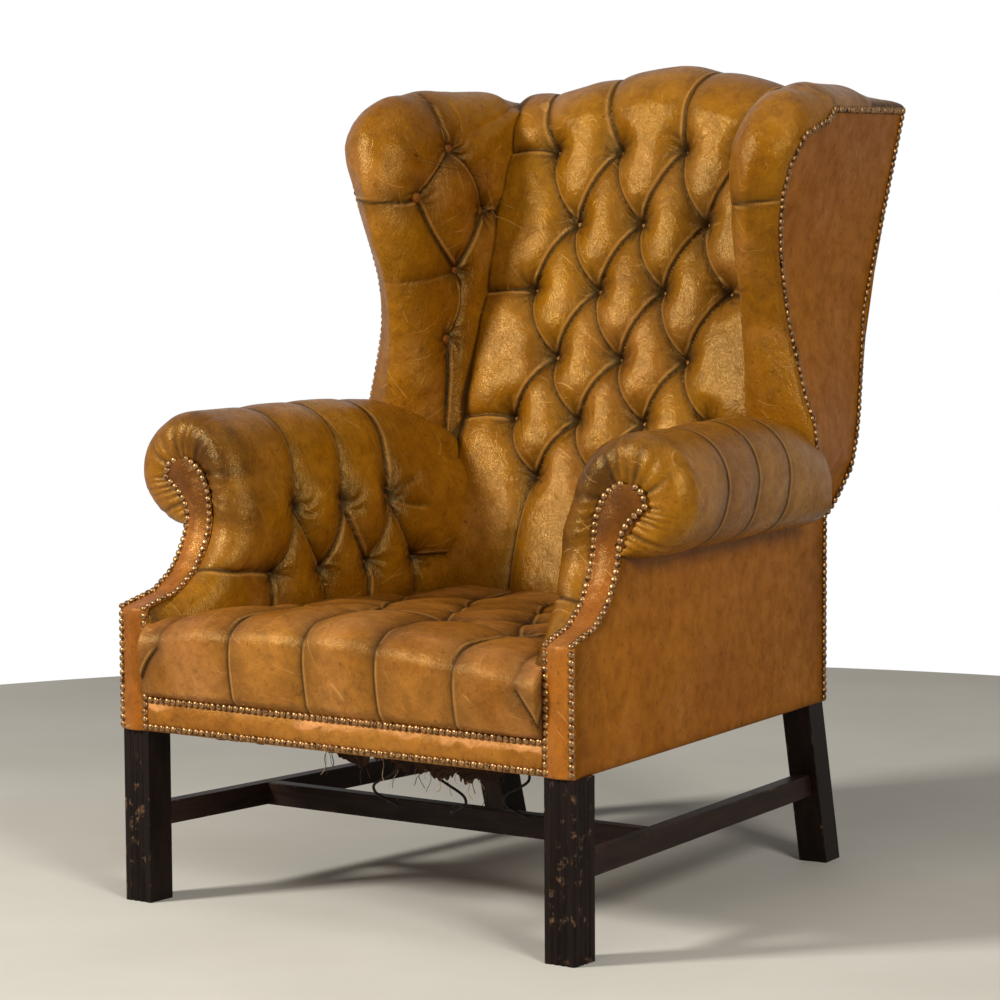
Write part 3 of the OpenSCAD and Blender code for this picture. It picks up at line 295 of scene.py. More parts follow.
def loft_faces(n, m, caps=True):
    """Faces over n closed rings of m points each."""
    i, j = np.meshgrid(np.arange(n - 1), np.arange(m), indexing="ij")
    k = (j + 1) % m
    quads = np.stack([i * m + j, i * m + k, (i + 1) * m + k, (i + 1) * m + j], -1).reshape(-1, 4).tolist()
    if caps:
        quads += [list(range(m - 1, -1, -1)), list(range((n - 1) * m, n * m))]
    return quads


def grid_normals(grid, at, toward):
    """Unit normals of a grid of points, turned so that the one at the place given points toward."""
    normal = unit(np.cross(np.gradient(grid, axis=0), np.gradient(grid, axis=1)))
    return normal * np.sign(normal[at] @ np.array(toward, float))


def mirrored(points, side):
    return points * np.array([side, 1, 1])


def two_sided(outer, inner):
    """Points of rings that go up an outer grid and come back down an inner one."""
    return np.concatenate([outer, inner[:, ::-1]], 1).reshape(-1, 3)


def with_zeros(values, k):
    """Values on a grid, and 0 at the k points of each ring that close it behind."""
    return np.concatenate([values, np.zeros((len(values), k))], 1).ravel()


# Materials: colours are linear, sizes in metres


def srgb(r, g, b):
    return tuple(c / 255 / 12.92 if c <= 10 else ((c / 255 + 0.055) / 1.055) ** 2.4 for c in (r, g, b)) + (1,)


def dimmed(colour, share):
    return tuple(c * share for c in colour[:3]) + (1,)


class Shader:
    """A material's node tree, with short words for the nodes that are used here."""

    def __init__(self, name):
        self.material = bpy.data.materials.new(name)
        self.material.use_nodes = True
        self.tree = self.material.node_tree
        self.bsdf = self.tree.nodes["Principled BSDF"]
        self.coord = self.tree.nodes.new("ShaderNodeTexCoord").outputs["Object"]

    def plug(self, value, socket):
        if isinstance(value, bpy.types.NodeSocket):
            self.tree.links.new(value, socket)
        else:
            socket.default_value = value

    def node(self, kind, inputs, **settings):
        node = self.tree.nodes.new(kind)
        for key, value in settings.items():
            setattr(node, key, value)
        for key, value in inputs.items():
            self.plug(value, node.inputs[key])
        return node

    def mapped(self, **settings):
        inputs = {"Vector": self.coord, **{key.title(): value for key, value in settings.items()}}
        return self.node("ShaderNodeMapping", inputs).outputs[0]

    def noise(self, scale, detail=3, rough=0.55, vector=None, distortion=0.0):
        inputs = {"Vector": vector or self.coord, "Scale": scale, "Detail": detail, "Roughness": rough,
                  "Distortion": distortion}
        return self.node("ShaderNodeTexNoise", inputs).outputs["Fac"]

    def bands(self, scale, distortion, detail, vector=None, detail_scale=1.0, **settings):
        return self.node("ShaderNodeTexWave", {
            "Vector": vector or self.coord, "Scale": scale, "Distortion": distortion, "Detail": detail,
            "Detail Scale": detail_scale}, **settings).outputs["Fac"]

    def ramp(self, value, low, high, out_low=0.0, out_high=1.0):
        return self.node("ShaderNodeMapRange", {"Value": value, "From Min": low, "From Max": high,
                                                "To Min": out_low, "To Max": out_high}).outputs[0]

    def math(self, kind, a, b=0.0):
        return self.node("ShaderNodeMath", {0: a, 1: b}, operation=kind).outputs[0]

    def times(self, a, b):
        return self.math("MULTIPLY", a, b)

    def layered(self, colour, *layers):
        """A colour with others mixed over it, from layers of (share, colour)."""
        for share, over in layers:
            inputs = {0: share, 6: colour, 7: over}
            colour = self.node("ShaderNodeMix", inputs, data_type="RGBA", blend_type="MIX").outputs[2]
        return colour

    def attribute(self, name, share=None):
        value = self.node("ShaderNodeAttribute", {}, attribute_name=name).outputs["Fac"]
        return value if share is None else self.times(value, share)

    def bumps(self, *layers):
        """Layers of (height, strength, distance), finest first."""
        normal = None
        for height, strength, distance in layers:
            inputs = {"Height": height, "Strength": strength, "Distance": distance}
            if normal is not None:
                inputs["Normal"] = normal
            normal = self.node("ShaderNodeBump", inputs).outputs[0]
        self.plug(normal, self.bsdf.inputs["Normal"])

    def finish(self, colour, roughness, metallic=0.0, specular=0.5):
        for key, value in (("Base Color", colour), ("Roughness", roughness), ("Metallic", metallic),
                           ("Specular IOR Level", specular)):
            self.plug(value, self.bsdf.inputs[key])
        return self.material


# Scratches are short stretches of thin bands: turn, scale and threshold of each way that they run
SCRATCH_RUNS = (((0.2, 0.5, 0.4), 7.0, 0.57), ((0.9, 0.1, 1.3), 9.0, 0.58), ((0.4, 1.2, 2.4), 6.0, 0.58))


def leather(name, base, light, deep, seed=0.0, rough=0.25, creased=1.0, gloss=0.40):
    """Aged hide: clouded, with painted shade in its folds and hollows, a painted highlight on the lips of
    folds, lighter worn crowns, scratched, creased and pored.
    """
    s = Shader(name)
    moved = s.mapped(location=(seed, seed * 2.3, -seed))
    cloud = s.noise(5.0, 5, 0.62, moved, 0.5)
    mottle = s.noise(42, 6, 0.7, moved, 0.3)
    fine = s.noise(210, 4, 0.6, moved)
    scratch = None
    for turn, scale, low in SCRATCH_RUNS:
        turned = s.mapped(scale=(1, 1, 1), rotation=turn)
        thin = s.ramp(s.bands(scale, 2.4, 1.5, turned, 0.8), 0.9985, 0.9999)
        here = s.times(thin, s.ramp(s.noise(17, 2, 0.5, turned), low, low + 0.07))
        scratch = here if scratch is None else s.math("MAXIMUM", scratch, here)
    lines = s.noise(1.0, 1.5, 0.45, s.mapped(scale=(30, 9, 17), rotation=(0.3, 0.5, 0.9)))
    lines = s.ramp(s.math("ABSOLUTE", s.math("SUBTRACT", lines, 0.5)), 0.0, 0.009, 1.0, 0.0)
    crease = s.times(lines, s.ramp(s.noise(8, 2, 0.5, moved), 0.48, 0.60))
    flecks = s.ramp(s.noise(120, 3, 0.6, moved), 0.62, 0.72)
    colour = s.layered(
        base,
        (s.ramp(cloud, 0.38, 0.64), light),
        (s.ramp(mottle, 0.40, 0.70, 0.0, 0.55), deep),
        (s.ramp(fine, 0.38, 0.68, 0.0, 0.22), light),
        (s.attribute("worn", s.ramp(mottle, 0.3, 0.6, 1.0, 0.35)), srgb(204, 140, 84)),
        # Painted shade in the hollows between the swellings
        (s.attribute("deep", 0.92), dimmed(deep, 0.22)),
        (s.attribute("soil", s.ramp(mottle, 0.3, 0.6, 0.75, 1.0)), srgb(50, 24, 10)),
        # Painted highlight along the lifted lips of folds
        (s.attribute("lip", 0.42), srgb(214, 156, 82)),
        # Painted shade along folds, seams and button pits
        (s.attribute("fold", 0.93), srgb(30, 12, 3)),
        (s.times(scratch, 0.34 * creased), srgb(222, 168, 98)),
        (s.times(crease, 0.3 * creased), srgb(66, 30, 6)),
        (s.times(flecks, 0.5), srgb(62, 28, 4)))
    pores = s.node("ShaderNodeTexVoronoi", {"Vector": moved, "Scale": 820}, feature="F1").outputs["Distance"]
    wrinkles = s.noise(70, 4, 0.6, s.mapped(scale=(1.0, 1.9, 0.8), rotation=(0.4, 0.2, 0.7)), 0.8)
    s.bumps((pores, 0.35, 0.0006), (fine, 0.45, 0.0007), (scratch, 0.3, 0.0008),
            (crease, -0.4 * creased, 0.0012), (wrinkles, 0.5 * creased, 0.0030))
    roughness = s.math("ADD", s.ramp(mottle, 0.3, 0.7, rough - 0.08, rough + 0.12), s.attribute("fold", 0.3))
    s.bsdf.inputs["Specular Tint"].default_value = (1.0, 0.70, 0.26, 1)
    return s.finish(colour, roughness, specular=gloss)


def wood(name, base, light, rough=0.42, worn_edge=None, grain=(10, 60, 60)):
    s = Shader(name)
    long_grain = s.noise(1.0, 5, 0.62, s.mapped(scale=grain, rotation=(0, 0, 0)), 0.8)
    pores = s.noise(1.0, 3, 0.6, s.mapped(scale=tuple(g * 6 for g in grain), rotation=(0, 0, 0)))
    scuffs = s.ramp(s.noise(28, 5, 0.7), 0.62, 0.72)
    layers = [(s.ramp(long_grain, 0.34, 0.68), light),
              (s.ramp(pores, 0.6, 0.75, 0.0, 0.5), dimmed(base, 0.5))]
    if worn_edge:
        chipped = s.attribute("edge", s.ramp(s.noise(45, 5, 0.7), 0.57, 0.66))
        layers.append((s.times(chipped, 0.6), worn_edge))
    colour = s.layered(base, *layers, (s.times(scuffs, 0.25), light))
    s.bumps((pores, 0.25, 0.0006), (long_grain, 0.18, 0.0012))
    return s.finish(colour, s.ramp(scuffs, 0, 1, rough, rough + 0.2), specular=0.12)


def metal(name, base, dark, rough):
    s = Shader(name)
    patina = s.noise(160, 4, 0.6)
    s.bumps((s.noise(700, 3, 0.6), 0.2, 0.0003),)
    return s.finish(s.layered(base, (s.ramp(patina, 0.42, 0.66), dark)),
                    s.ramp(patina, 0.35, 0.7, rough, rough + 0.3), metallic=0.9)


def jute(name, base, dark):
    s = Shader(name)
    weave = s.times(*(s.bands(260.0, 1.5, 2.0, bands_direction=axis) for axis in "XY"))
    s.bumps((weave, 0.5, 0.0008),)
    colour = s.layered(dark, (s.ramp(weave, 0.0, 0.7), base),
                       (s.ramp(s.noise(40, 4), 0.45, 0.7, 0, 0.6), dark))
    return s.finish(colour, 0.92, specular=0.2)


TAN = leather("tan_hide", srgb(135, 82, 5), srgb(162, 107, 14), srgb(84, 41, 1))
SEAT_HIDE = leather("seat_hide", srgb(140, 82, 14), srgb(176, 116, 44), srgb(74, 36, 6), 3.1, 0.35)
PANEL_HIDE = leather("panel_hide", srgb(150, 86, 0), srgb(166, 100, 0), srgb(88, 43, 0), 5.7, 0.40, 0.5, 0.15)
FACING_HIDE = leather("facing_hide", srgb(146, 82, 22), srgb(172, 104, 34), srgb(92, 44, 12), 8.2, 0.26)
BUTTON_HIDE = leather("button_hide", srgb(120, 66, 20), srgb(150, 90, 34), srgb(78, 38, 10), 11.0, 0.32)
ESPRESSO = wood("stained_wood_finish", srgb(13, 7, 5), srgb(30, 18, 13), 0.42, srgb(128, 98, 74), (60, 60, 9))
ESPRESSO_LYING = wood("stained_wood_lying", srgb(24, 14, 11), srgb(46, 30, 23), 0.42, srgb(104, 78, 58),
                      (9, 9, 60))
RAW_WOOD = wood("frame_wood_finish", srgb(186, 150, 104), srgb(208, 176, 130), 0.6)
BRASS = metal("aged_brass_finish", srgb(172, 130, 84), srgb(46, 27, 15), 0.27)
STEEL = metal("spring_steel_finish", srgb(44, 41, 39), srgb(24, 21, 20), 0.45)
JUTE = jute("jute_finish", srgb(150, 116, 76), srgb(92, 66, 40))
RAGGED = jute("ragged_jute_finish", srgb(74, 48, 32), srgb(36, 22, 15))
THREAD = jute("thread_finish", srgb(190, 170, 142), srgb(140, 118, 90))


def padded_cover(name, nodes, outer, inner, measured, seed, worn=0.3, side=1, material=TAN,
                 faces=None, soil=None, rubbed=None):
    """A padded piece: a quilted grid, closed by the points behind each of its rings.

    measured holds height, painted fold shade and painted lip highlight on the grid, and rubbed gives more
    wear at points.
    """
    inner = np.asarray(inner, float)
    (n, m), k = outer.shape[:2], inner.shape[1]
    points = np.concatenate([outer, inner], 1).reshape(-1, 3)
    height, fold, pale = (with_zeros(v, k) for v in measured)
    patch = smooth(noise(points, 95, seed) * 0.8 + noise(points, 30, seed + 1) * 0.5 + 0.1)
    wear = np.clip(worn * patch * smooth(height * 1.6 - 0.5), 0, 1)
    if rubbed:
        wear = np.clip(wear + rubbed(points), 0, 0.8)
    # fold and lip carry painted shade along folds and seams and a painted highlight on the lifted lips; the
    # value from the height share is painted shade in the hollows
    piece = new_piece(name, mirrored(points, side), faces or loft_faces(n, m + k), material, "tan_leather",
                      nodes, fold=fold, lip=pale, deep=np.clip(1.5 * (1.08 - height), 0, 1) ** 1.2,
                      worn=wear, soil=np.zeros(len(points)) if soil is None else with_zeros(soil, k))


# Inside back, which rolls over the crest

CREST = [(0, 1119), (60, 1112), (123, 1100), (177, 1086), (250, 1083)]
BACK_ROWS = [(533, 3), (614, 4), (701, 3), (796, 4), (891, 3), (994, 4)]
BACK_PITCH = 110.0
BACK_LOW = 333.0
FLAP_Z = 1058.0
BACK_CROWN, CREST_CROWN, FLAP_CROWN = 37.0, 12.0, 5.0
LEATHER = 2.6


def crest_z(x):
    xs, zs = zip(*CREST)
    ring = np.interp(np.abs(x), xs, zs)
    soft = [np.interp(np.abs(np.abs(x) + d), xs, zs) for d in (-24, -12, 12, 24)]
    return (ring * 2 + sum(soft)) / 6


def back_quilt():
    q = Quilt(46, seed=11)
    rows = [[(BACK_PITCH * (j - (n - 1) / 2), z) for j in range(n)] for z, n in BACK_ROWS]
    for row in rows:
        q.button(*row)
    for lower, upper in zip(rows, rows[1:]):
        for a in lower:
            for b in upper:
                if abs(a[0] - b[0]) < BACK_PITCH * 0.6:
                    q.fold(a, b, bow=11 if b[0] < a[0] else 3, side=-1 if b[0] < a[0] else 1)
    for row in rows:
        if len(row) == 4:
            for x, z in (row[0], row[-1]):
                q.fold((x, z), (math.copysign(BACK_HALF + 4, x), z - 8), (0, 0.7), 0.62, side=1)
    for x, z in rows[0]:
        q.fold((x, z), (x * 1.02, BACK_LOW), (0, 0.55))
    for (x, z), over in zip(rows[-1], (-226, -104, 61, 176)):
        q.fold((x, z), (over, z + 150), (0, 0.62), 0.62, bow=4, side=1)
        q.fold((over, z + 150), (over, z + 320), (0.62, 0.7), 0.66, bow=0, lip=1.2)
    for s in (-1, 1):
        edge = s * (BACK_HALF + 3)
        q.seam([(edge, BACK_LOW), (edge, 850)], 0.62, 0.8)
        q.seam([(edge, 850), (edge, 1400)], 0.8, 0.8)
    q.seam([(-260, BACK_LOW + 14), (260, BACK_LOW + 14)], 0.5, 0.5)
    return q


def inside_back():
    """Returns the depth of the surface beside the wings as a function of height."""
    columns = np.linspace(-BACK_HALF, BACK_HALF, 223)
    quarter = np.pi / 2
    base, pattern, crown = [], [], []
    for x in columns:
        top = crest_z(x)
        low_top, z_f, z_b = top - 11, top - 62, top - 30
        z = np.linspace(BACK_LOW, z_f, 292)
        y_t = 0.45 * button_y(top) + 0.55 * post_back_y(top)
        a = np.radians(np.linspace(0, 90, 36)[1:])
        za = z_f + (low_top - z_f) * np.sin(a)
        ya = button_y(za) + (y_t - button_y(low_top)) * (1 - np.cos(a))
        b = np.radians(np.linspace(90, 0, 26)[1:])
        zb = z_b + (low_top - z_b) * np.sin(b)
        yb = post_back_y(zb) + LEATHER - (post_back_y(low_top) + LEATHER - y_t) * (1 - np.cos(b))
        zc = np.linspace(z_b, FLAP_Z, 9)[1:]
        ys = np.concatenate([button_y(z), ya, yb, post_back_y(zc) + LEATHER])
        zs = np.concatenate([z, za, zb, zc])
        run = np.concatenate([[0], np.cumsum(np.hypot(np.diff(ys), np.diff(zs)))])
        start = len(z) - 1
        column = np.full(len(ys), x)
        base.append(np.stack([column, ys, zs], 1))
        pattern.append(np.stack([column, np.concatenate([z, z_f + run[start + 1:] - run[start]])], 1))
        crown.append(np.concatenate([
            np.full(len(z), BACK_CROWN), np.interp(a, [0, quarter], [BACK_CROWN, CREST_CROWN]),
            np.interp(b, [0, quarter], [FLAP_CROWN, CREST_CROWN]), np.linspace(FLAP_CROWN, 0.6, len(zc))]))
    base, pattern, crown = np.array(base), np.array(pattern), np.array(crown)
    normal = grid_normals(base, (len(columns) // 2, 10), (0, -1, 0))
    height, lift, fold, pale = back_quilt().measure(pattern)
    # Painted shade in the join where the back meets each wing
    beside_wing = smooth((np.abs(base[..., 0]) - 232) / 7) * smooth((1070 - base[..., 2]) / 15)
    fold = np.maximum(fold, 0.85 * beside_wing * (crown > CREST_CROWN))
    wave = waves(base, (60, 3, 1.6), (22, 4, 0.7))
    rise = crown * height + lift * np.clip(crown / 34, 0.25, 1) + wave * np.clip(crown / 34, 0.1, 1)
    front = base + normal * rise[..., None]
    rear_z = crest_z(columns) - 27
    flap, low = FLAP_Z + 0 * columns, BACK_LOW + 0 * columns
    inner = np.stack([np.stack([columns, y, z], 1) for y, z in (
        (post_back_y(flap) + 0.5, flap), (post_back_y(rear_z) + 0.5, rear_z),
        (button_y(rear_z) + 26, rear_z), (button_y(low) + 26, low))], 1)
    padded_cover("tufted_back", ("inside_back_cover", "back_stuffing"), front, inner,
                 (height, fold, pale), 21)
    at = int(np.argmin(np.abs(columns - 240)))
    up, depth = np.maximum.accumulate(front[at, :320, 2]), front[at, :320, 1]
    return lambda z: np.interp(z, up, depth)


# Inside arms: an upright tufted face that goes over into a roll

FACING_LINE = [
    (323, 2, 386), (323, 4, 397), (320, 60, 413), (317, 92, 437), (313, 108, 461), (312, 120, 485),
    (312, 125, 509), (314, 127, 533), (317, 128, 548), (322, 128, 561), (331, 128, 573), (343, 128, 582),
    (358, 128, 586), (373, 128, 583), (384, 127, 574), (388, 127, 562), (383, 127, 551), (371, 127, 542),
    (360, 127, 533), (354, 126, 520), (351, 125, 508), (350, 122, 497)]
# Places in that line of its landmarks: seat, start of the roll, top of the head, outermost place, end
FACING_MARKS = [0, 7, 12, 15, 21]
ARM_LOW = 354.0
ARM_PLAIN_TOP = 505.0
ARM_ROWS = ((513.0, (246.0, 341.0, 436.0)), (427.0, (198.5, 293.5, 388.5, 483.5)))
ARM_END = 700.0
# Points of the arm's section: its upright face, the bridge to the roll, and the roll with its sweep
FACE_N, BRIDGE_N, ROLL_N = 66, 26, 130
ROLL_FROM, ROLL_TO = 180, -100
# Heights of the lining behind the facing
LINING_Z = [500, 492, 485, 477, 470, 463, 456, 449, 442, 436, 430, 424, 418, 413, 408, 403, 398, 390, 380,
            ARM_LOW]
# The roll along its length: how far it lifts as a share of its radius, and how its radius shrinks
LIFT_SHARES = [(0, -0.02), (0.1, 0), (0.25, 0.06), (0.42, 0.1), (0.6, 0.12), (0.75, 0.06), (0.86, -0.06),
               (1, -0.3)]
RADIUS_SHARES = [(0, 1.03), (0.08, 1.02), (0.25, 0.97), (0.6, 0.92), (0.8, 0.9), (1, 0.85)]
# How far the leather swells between folds, at heights in the pattern
ARM_CROWNS = [(ARM_LOW, 24), (440, 34), (520, 36), (560, 30), (600, 20), (650, 11), (720, 7), (900, 4)]


def arm_section():
    """The arm's section at crease level: offset from the side and height, and the height in the pattern."""
    z = np.linspace(ARM_LOW, ARM_PLAIN_TOP, FACE_N)
    a = np.radians(np.linspace(ROLL_FROM, ROLL_TO, ROLL_N))
    radius = ROLL_R - 3
    ring = np.stack([ROLL_OUT + radius * np.cos(a), ROLL_Z + radius * np.sin(a)], 1)
    t = np.linspace(0, 1, BRIDGE_N + 2)[1:-1]
    bridge = np.stack([ARM_FACE + (ring[0, 0] - ARM_FACE) * smooth(t),
                       ARM_PLAIN_TOP + (ROLL_Z - ARM_PLAIN_TOP) * t], 1)
    section = np.concatenate([np.stack([np.full(FACE_N, ARM_FACE), z], 1), bridge, ring])
    return section, ARM_LOW + lengths_along(section)


def arm_quilt(end, seed):
    """Folds in the arm's pattern: distance behind the front face, and height along the section."""
    q = Quilt(44, seed=seed)
    upper, lower = ([(y, z) for y in ys] for z, ys in ARM_ROWS)
    (row_z, _), (lower_z, _) = ARM_ROWS
    q.button(*upper, *lower)
    for k, a in enumerate(upper):
        over = (a[0] + 6, a[1] + 150)
        q.fold(a, lower[k], middle=0.52, bow=5)
        q.fold(a, lower[k + 1], middle=0.52, bow=-7)
        q.fold(a, over, (0, 0.62), 0.5, bow=-4)
        q.fold(over, (a[0] + 4, end + 40), (0.62, 0.3), 0.5, bow=3, lip=1.3)
    for y, z in lower:
        q.fold((y, z), (y + 3, ARM_LOW - 10), (0, 0.4), 0.4)
    q.fold(lower[0], (88, lower_z + 8), (0, 0.7), bow=-6, side=1)
    q.fold(lower[-1], (610, lower_z - 8), (0, 0.6), 0.5)
    q.fold(upper[-1], (500, row_z - 14), (0, 0.95), 0.7, lip=0.8, dark=0.5)
    q.fold(upper[-1], (496, row_z + 16), (0, 0.97), 0.75, lip=0.6, dark=0.3)
    q.seam([(60, ARM_LOW + 6), (640, ARM_LOW + 6)], 0.35, 0.4)
    return q


def arm_ring(section, y, t):
    """The section set at depths y, with the roll as it is at share t of the arm's length."""
    on_roll = section[:, 1] > ARM_PLAIN_TOP
    share = smooth((section[:, 1] - ARM_PLAIN_TOP) / 60) * on_roll
    scale = 1 + (np.interp(t, *zip(*RADIUS_SHARES)) - 1) * share
    d = ROLL_OUT + (section[:, 0] - ROLL_OUT) * np.where(on_roll, scale, 1)
    raised = ROLL_Z + (section[:, 1] - ROLL_Z) * scale + ROLL_R * np.interp(t, *zip(*LIFT_SHARES)) * share
    return np.stack([side_x(y) + d, y, np.where(on_roll, raised, section[:, 1])], 1)


def inside_arm(side, word):
    seed = 14 + side * 3
    section, pattern_z = arm_section()
    m = len(section)
    facing = np.array(FACING_LINE, float)
    on_roll_at = lambda degrees: FACE_N + BRIDGE_N + int(ROLL_N * degrees / (ROLL_FROM - ROLL_TO))
    neck = int(np.argmin(np.abs(section[:, 1] - 509) + (np.arange(m) > 80) * 999))
    marks = [0, neck, on_roll_at(84), on_roll_at(186), m - 1]
    # The facing's line, resampled to the section's points between landmarks
    front = np.concatenate([
        path_at(rounded(facing[fa:fb + 1], 1), np.linspace(0, 1, b - a + 1))[:None if b == m - 1 else -1]
        for a, b, fa, fb in zip(marks, marks[1:], FACING_MARKS, FACING_MARKS[1:])])
    front_y = np.maximum(96, front[:, 1]) + 30
    tucked = smooth((front[:, 2] - 396) / 6) * smooth((536 - front[:, 2]) / 20) * (np.arange(m) < neck + 12)
    front = front + np.stack([1 * tucked, 2.5 * tucked, 0 * tucked], 1)
    rings, pattern_y, swell = [], [], []
    edge = np.radians(np.linspace(0, 90, 20))[:-1]
    steps = np.linspace(0, 1, 196)
    first = arm_ring(section, front_y, 0)
    puff = 9 - 3 * smooth((front[:, 2] - 400) / 70)
    for phi in edge:
        r = front + (first - front) * math.sin(phi) ** 0.9
        r[:, 1] = front[:, 1] + (front_y - front[:, 1]) * (1 - math.cos(phi)) - puff * math.sin(2 * phi)
        rings.append(r)
        pattern_y.append(front_y - (1 - phi / (np.pi / 2)) * 45)
        swell.append(np.full(m, math.sin(phi) ** 2.4))
    for t in steps:
        y = front_y + (ARM_END - 60 - front_y - 0.45 * (section[:, 0] - ARM_FACE)) * t
        rings.append(arm_ring(section, y, t))
        pattern_y.append(y)
        swell.append(np.ones(m))
    grid, pattern_y, swell = np.array(rings), np.array(pattern_y), np.array(swell)
    n = len(grid)
    pattern = np.stack([pattern_y, np.broadcast_to(pattern_z, (n, m))], -1)
    crown = np.interp(pattern_z, *zip(*ARM_CROWNS))[None] * swell
    normal = grid_normals(grid, (n // 2, 20), (-1, 0, 0))
    height, lift, fold, pale = arm_quilt(pattern_z[-1], seed).measure(pattern)
    wave = waves(grid, (70, seed, 1.6), (24, seed + 1, 0.8))
    # Gathers round the scroll's head, deepest at the nails
    along = lengths_along(front)
    k = np.arange(n)[:, None]
    at_head = smooth((along - along[neck] + 30) / 60)[None] * smooth((along[-1] + 10 - along) / 30)[None]
    length = 9 + 4 * np.sin(along / 13.0 + seed) + 3 * np.sin(along / 5.3)
    reach = np.exp(-(k / length[None]) ** 2) * at_head
    phase = along / 1.45 + 2.6 * np.sin(along / 23.0 + seed) + 1.2 * np.sin(along / 9.0)
    ripple = (0.7 * np.cos(phase + k / 6.0) + 0.5 * np.cos(phase * 0.43 + seed))
    gather = 1.7 * ripple * reach * smooth(k / 2.0)
    offset = crown * height + lift * np.clip(crown / 22, 0.15, 1) + wave * 0.8 * swell + gather
    offset[0] = 0
    outer = grid + normal * offset[..., None]
    # Painted shade in the troughs of the gathers round the head
    fold = np.maximum(fold, 0.8 * np.clip(-ripple * 1.3 - 0.2, 0, 1) * reach)
    # Lining round the frame: under the head, then down behind the facing
    behind_facing = [np.interp(z, facing[:7, 2], facing[:7, 1]) + 2 for z in LINING_Z]
    lateral = np.concatenate([np.sin(edge) ** 0.9, np.ones(len(steps))])
    inner = []
    for ring, wide in zip(outer, lateral):
        face = ring[:FACE_N + BRIDGE_N]
        x_end, y_end, z_end = ring[-1]
        y_neck = np.interp(526, face[:, 2], face[:, 1]) + 2
        row = [[x_end - 1, y_end + 1, z_end], [x_end - 1, y_end + 1, 498 + 26 * wide],
               [side_x(y_neck) - 36, y_neck, 500 + 26 * wide]]
        for z, least in zip(LINING_Z, behind_facing):
            y = max(np.interp(z, face[:, 2], face[:, 1]) + 1, least)
            row.append([max(side_x(y) - 38, np.interp(z, face[:, 2], face[:, 0]) + 6), y, z])
        inner.append(row)
    near_head = smooth((along - along[neck] + 70) / 90) * smooth((along[marks[3]] - along) / 60)
    dark_head = np.exp(-(k / 27.0) ** 2) * near_head[None]
    soil = np.clip(dark_head * (0.7 + waves(grid, (22, 5, 0.5))), 0, 0.85)
    # The front end is closed by a strip behind the neck, which curves forward, and by the flat head
    ring_n = m + len(inner[0])
    height_at = lambda i: outer[0, i, 2] if i < m else inner[0][i - m][2]
    faces = loft_faces(n, ring_n, caps=False) + [list(range((n - 1) * ring_n, n * ring_n))]
    a, b = 0, ring_n - 1
    while a < neck or b > m + 2:
        if b == m + 2 or (a < neck and height_at(a + 1) < height_at(b - 1)):
            faces.append((a, a + 1, b))
            a += 1
        else:
            faces.append((a, b - 1, b))
            b -= 1
    faces.append(list(range(neck, m + 3)))
    padded_cover("tufted_arm_" + word, ("inside_arm_cover_" + word, "arm_stuffing_" + word), outer,
                 inner, (height, fold, pale), seed + 3, 0.25, side, faces=faces, soil=soil)


# Wings: a padded roll along the nailed outline, and a tufted inner face

WING_BUTTONS = {"crown": (606, 1003), "front": (543, 934), "rear": (671, 914), "middle": (617, 829),
                "low": (600, 731)}
WING_TOP_Z = 1068.0
# Depths behind the legs' front where the wing's top starts to go down behind the back, and where it ends
TOP_BEHIND, TOP_LOW, TOP_END = 745, 790, 862


def panel_edges(node):
    """Outer front and rear edges of an upright panel, read from its CAD node, as paths that go up."""
    front, rear = [], []
    for _, at in at_levels(node_points(node)):
        a, b = at[at[:, 1] < at[:, 1].min() + 1.5], at[at[:, 1] > at[:, 1].max() - 1.5]
        front.append(a[np.argmax(a[:, 0])])
        rear.append(b[np.argmax(b[:, 0])])
    return np.array(front), np.array(rear)


def wing_quilt(seed):
    q = Quilt(44, seed=seed)
    q.button(*WING_BUTTONS.values())
    crown, front, rear, middle, low = WING_BUTTONS.values()
    q.fold(crown, (590, 1072), (0, 0.5), 0.5, bow=5)
    q.fold((590, 1072), (586, 1180), (0.5, 0.7), bow=0, dark=0.6)
    q.fold(crown, front, middle=0.4)
    q.fold(front, (500, 928), (0, 0.5), 0.4, bow=3)
    q.fold((500, 928), (380, 922), (0.5, 0.6), 0.55, bow=0)
    q.fold(crown, rear, middle=0.55, bow=9)
    q.fold(rear, (742, 906), (0, 0.7), 0.5)
    q.fold(front, middle, middle=0.55, bow=-8)
    q.fold(rear, middle, middle=0.55)
    q.fold(middle, low, middle=0.55, bow=10)
    q.fold(low, (588, 560), (0, 0.6), 0.45, bow=4)
    q.fold(middle, (500, 812), (0, 0.9), 0.7, lip=0.5, dark=0.3)
    q.seam([(button_y(z) - 4, z) for z in (560, 1100)], 0.45, 0.8)
    return q


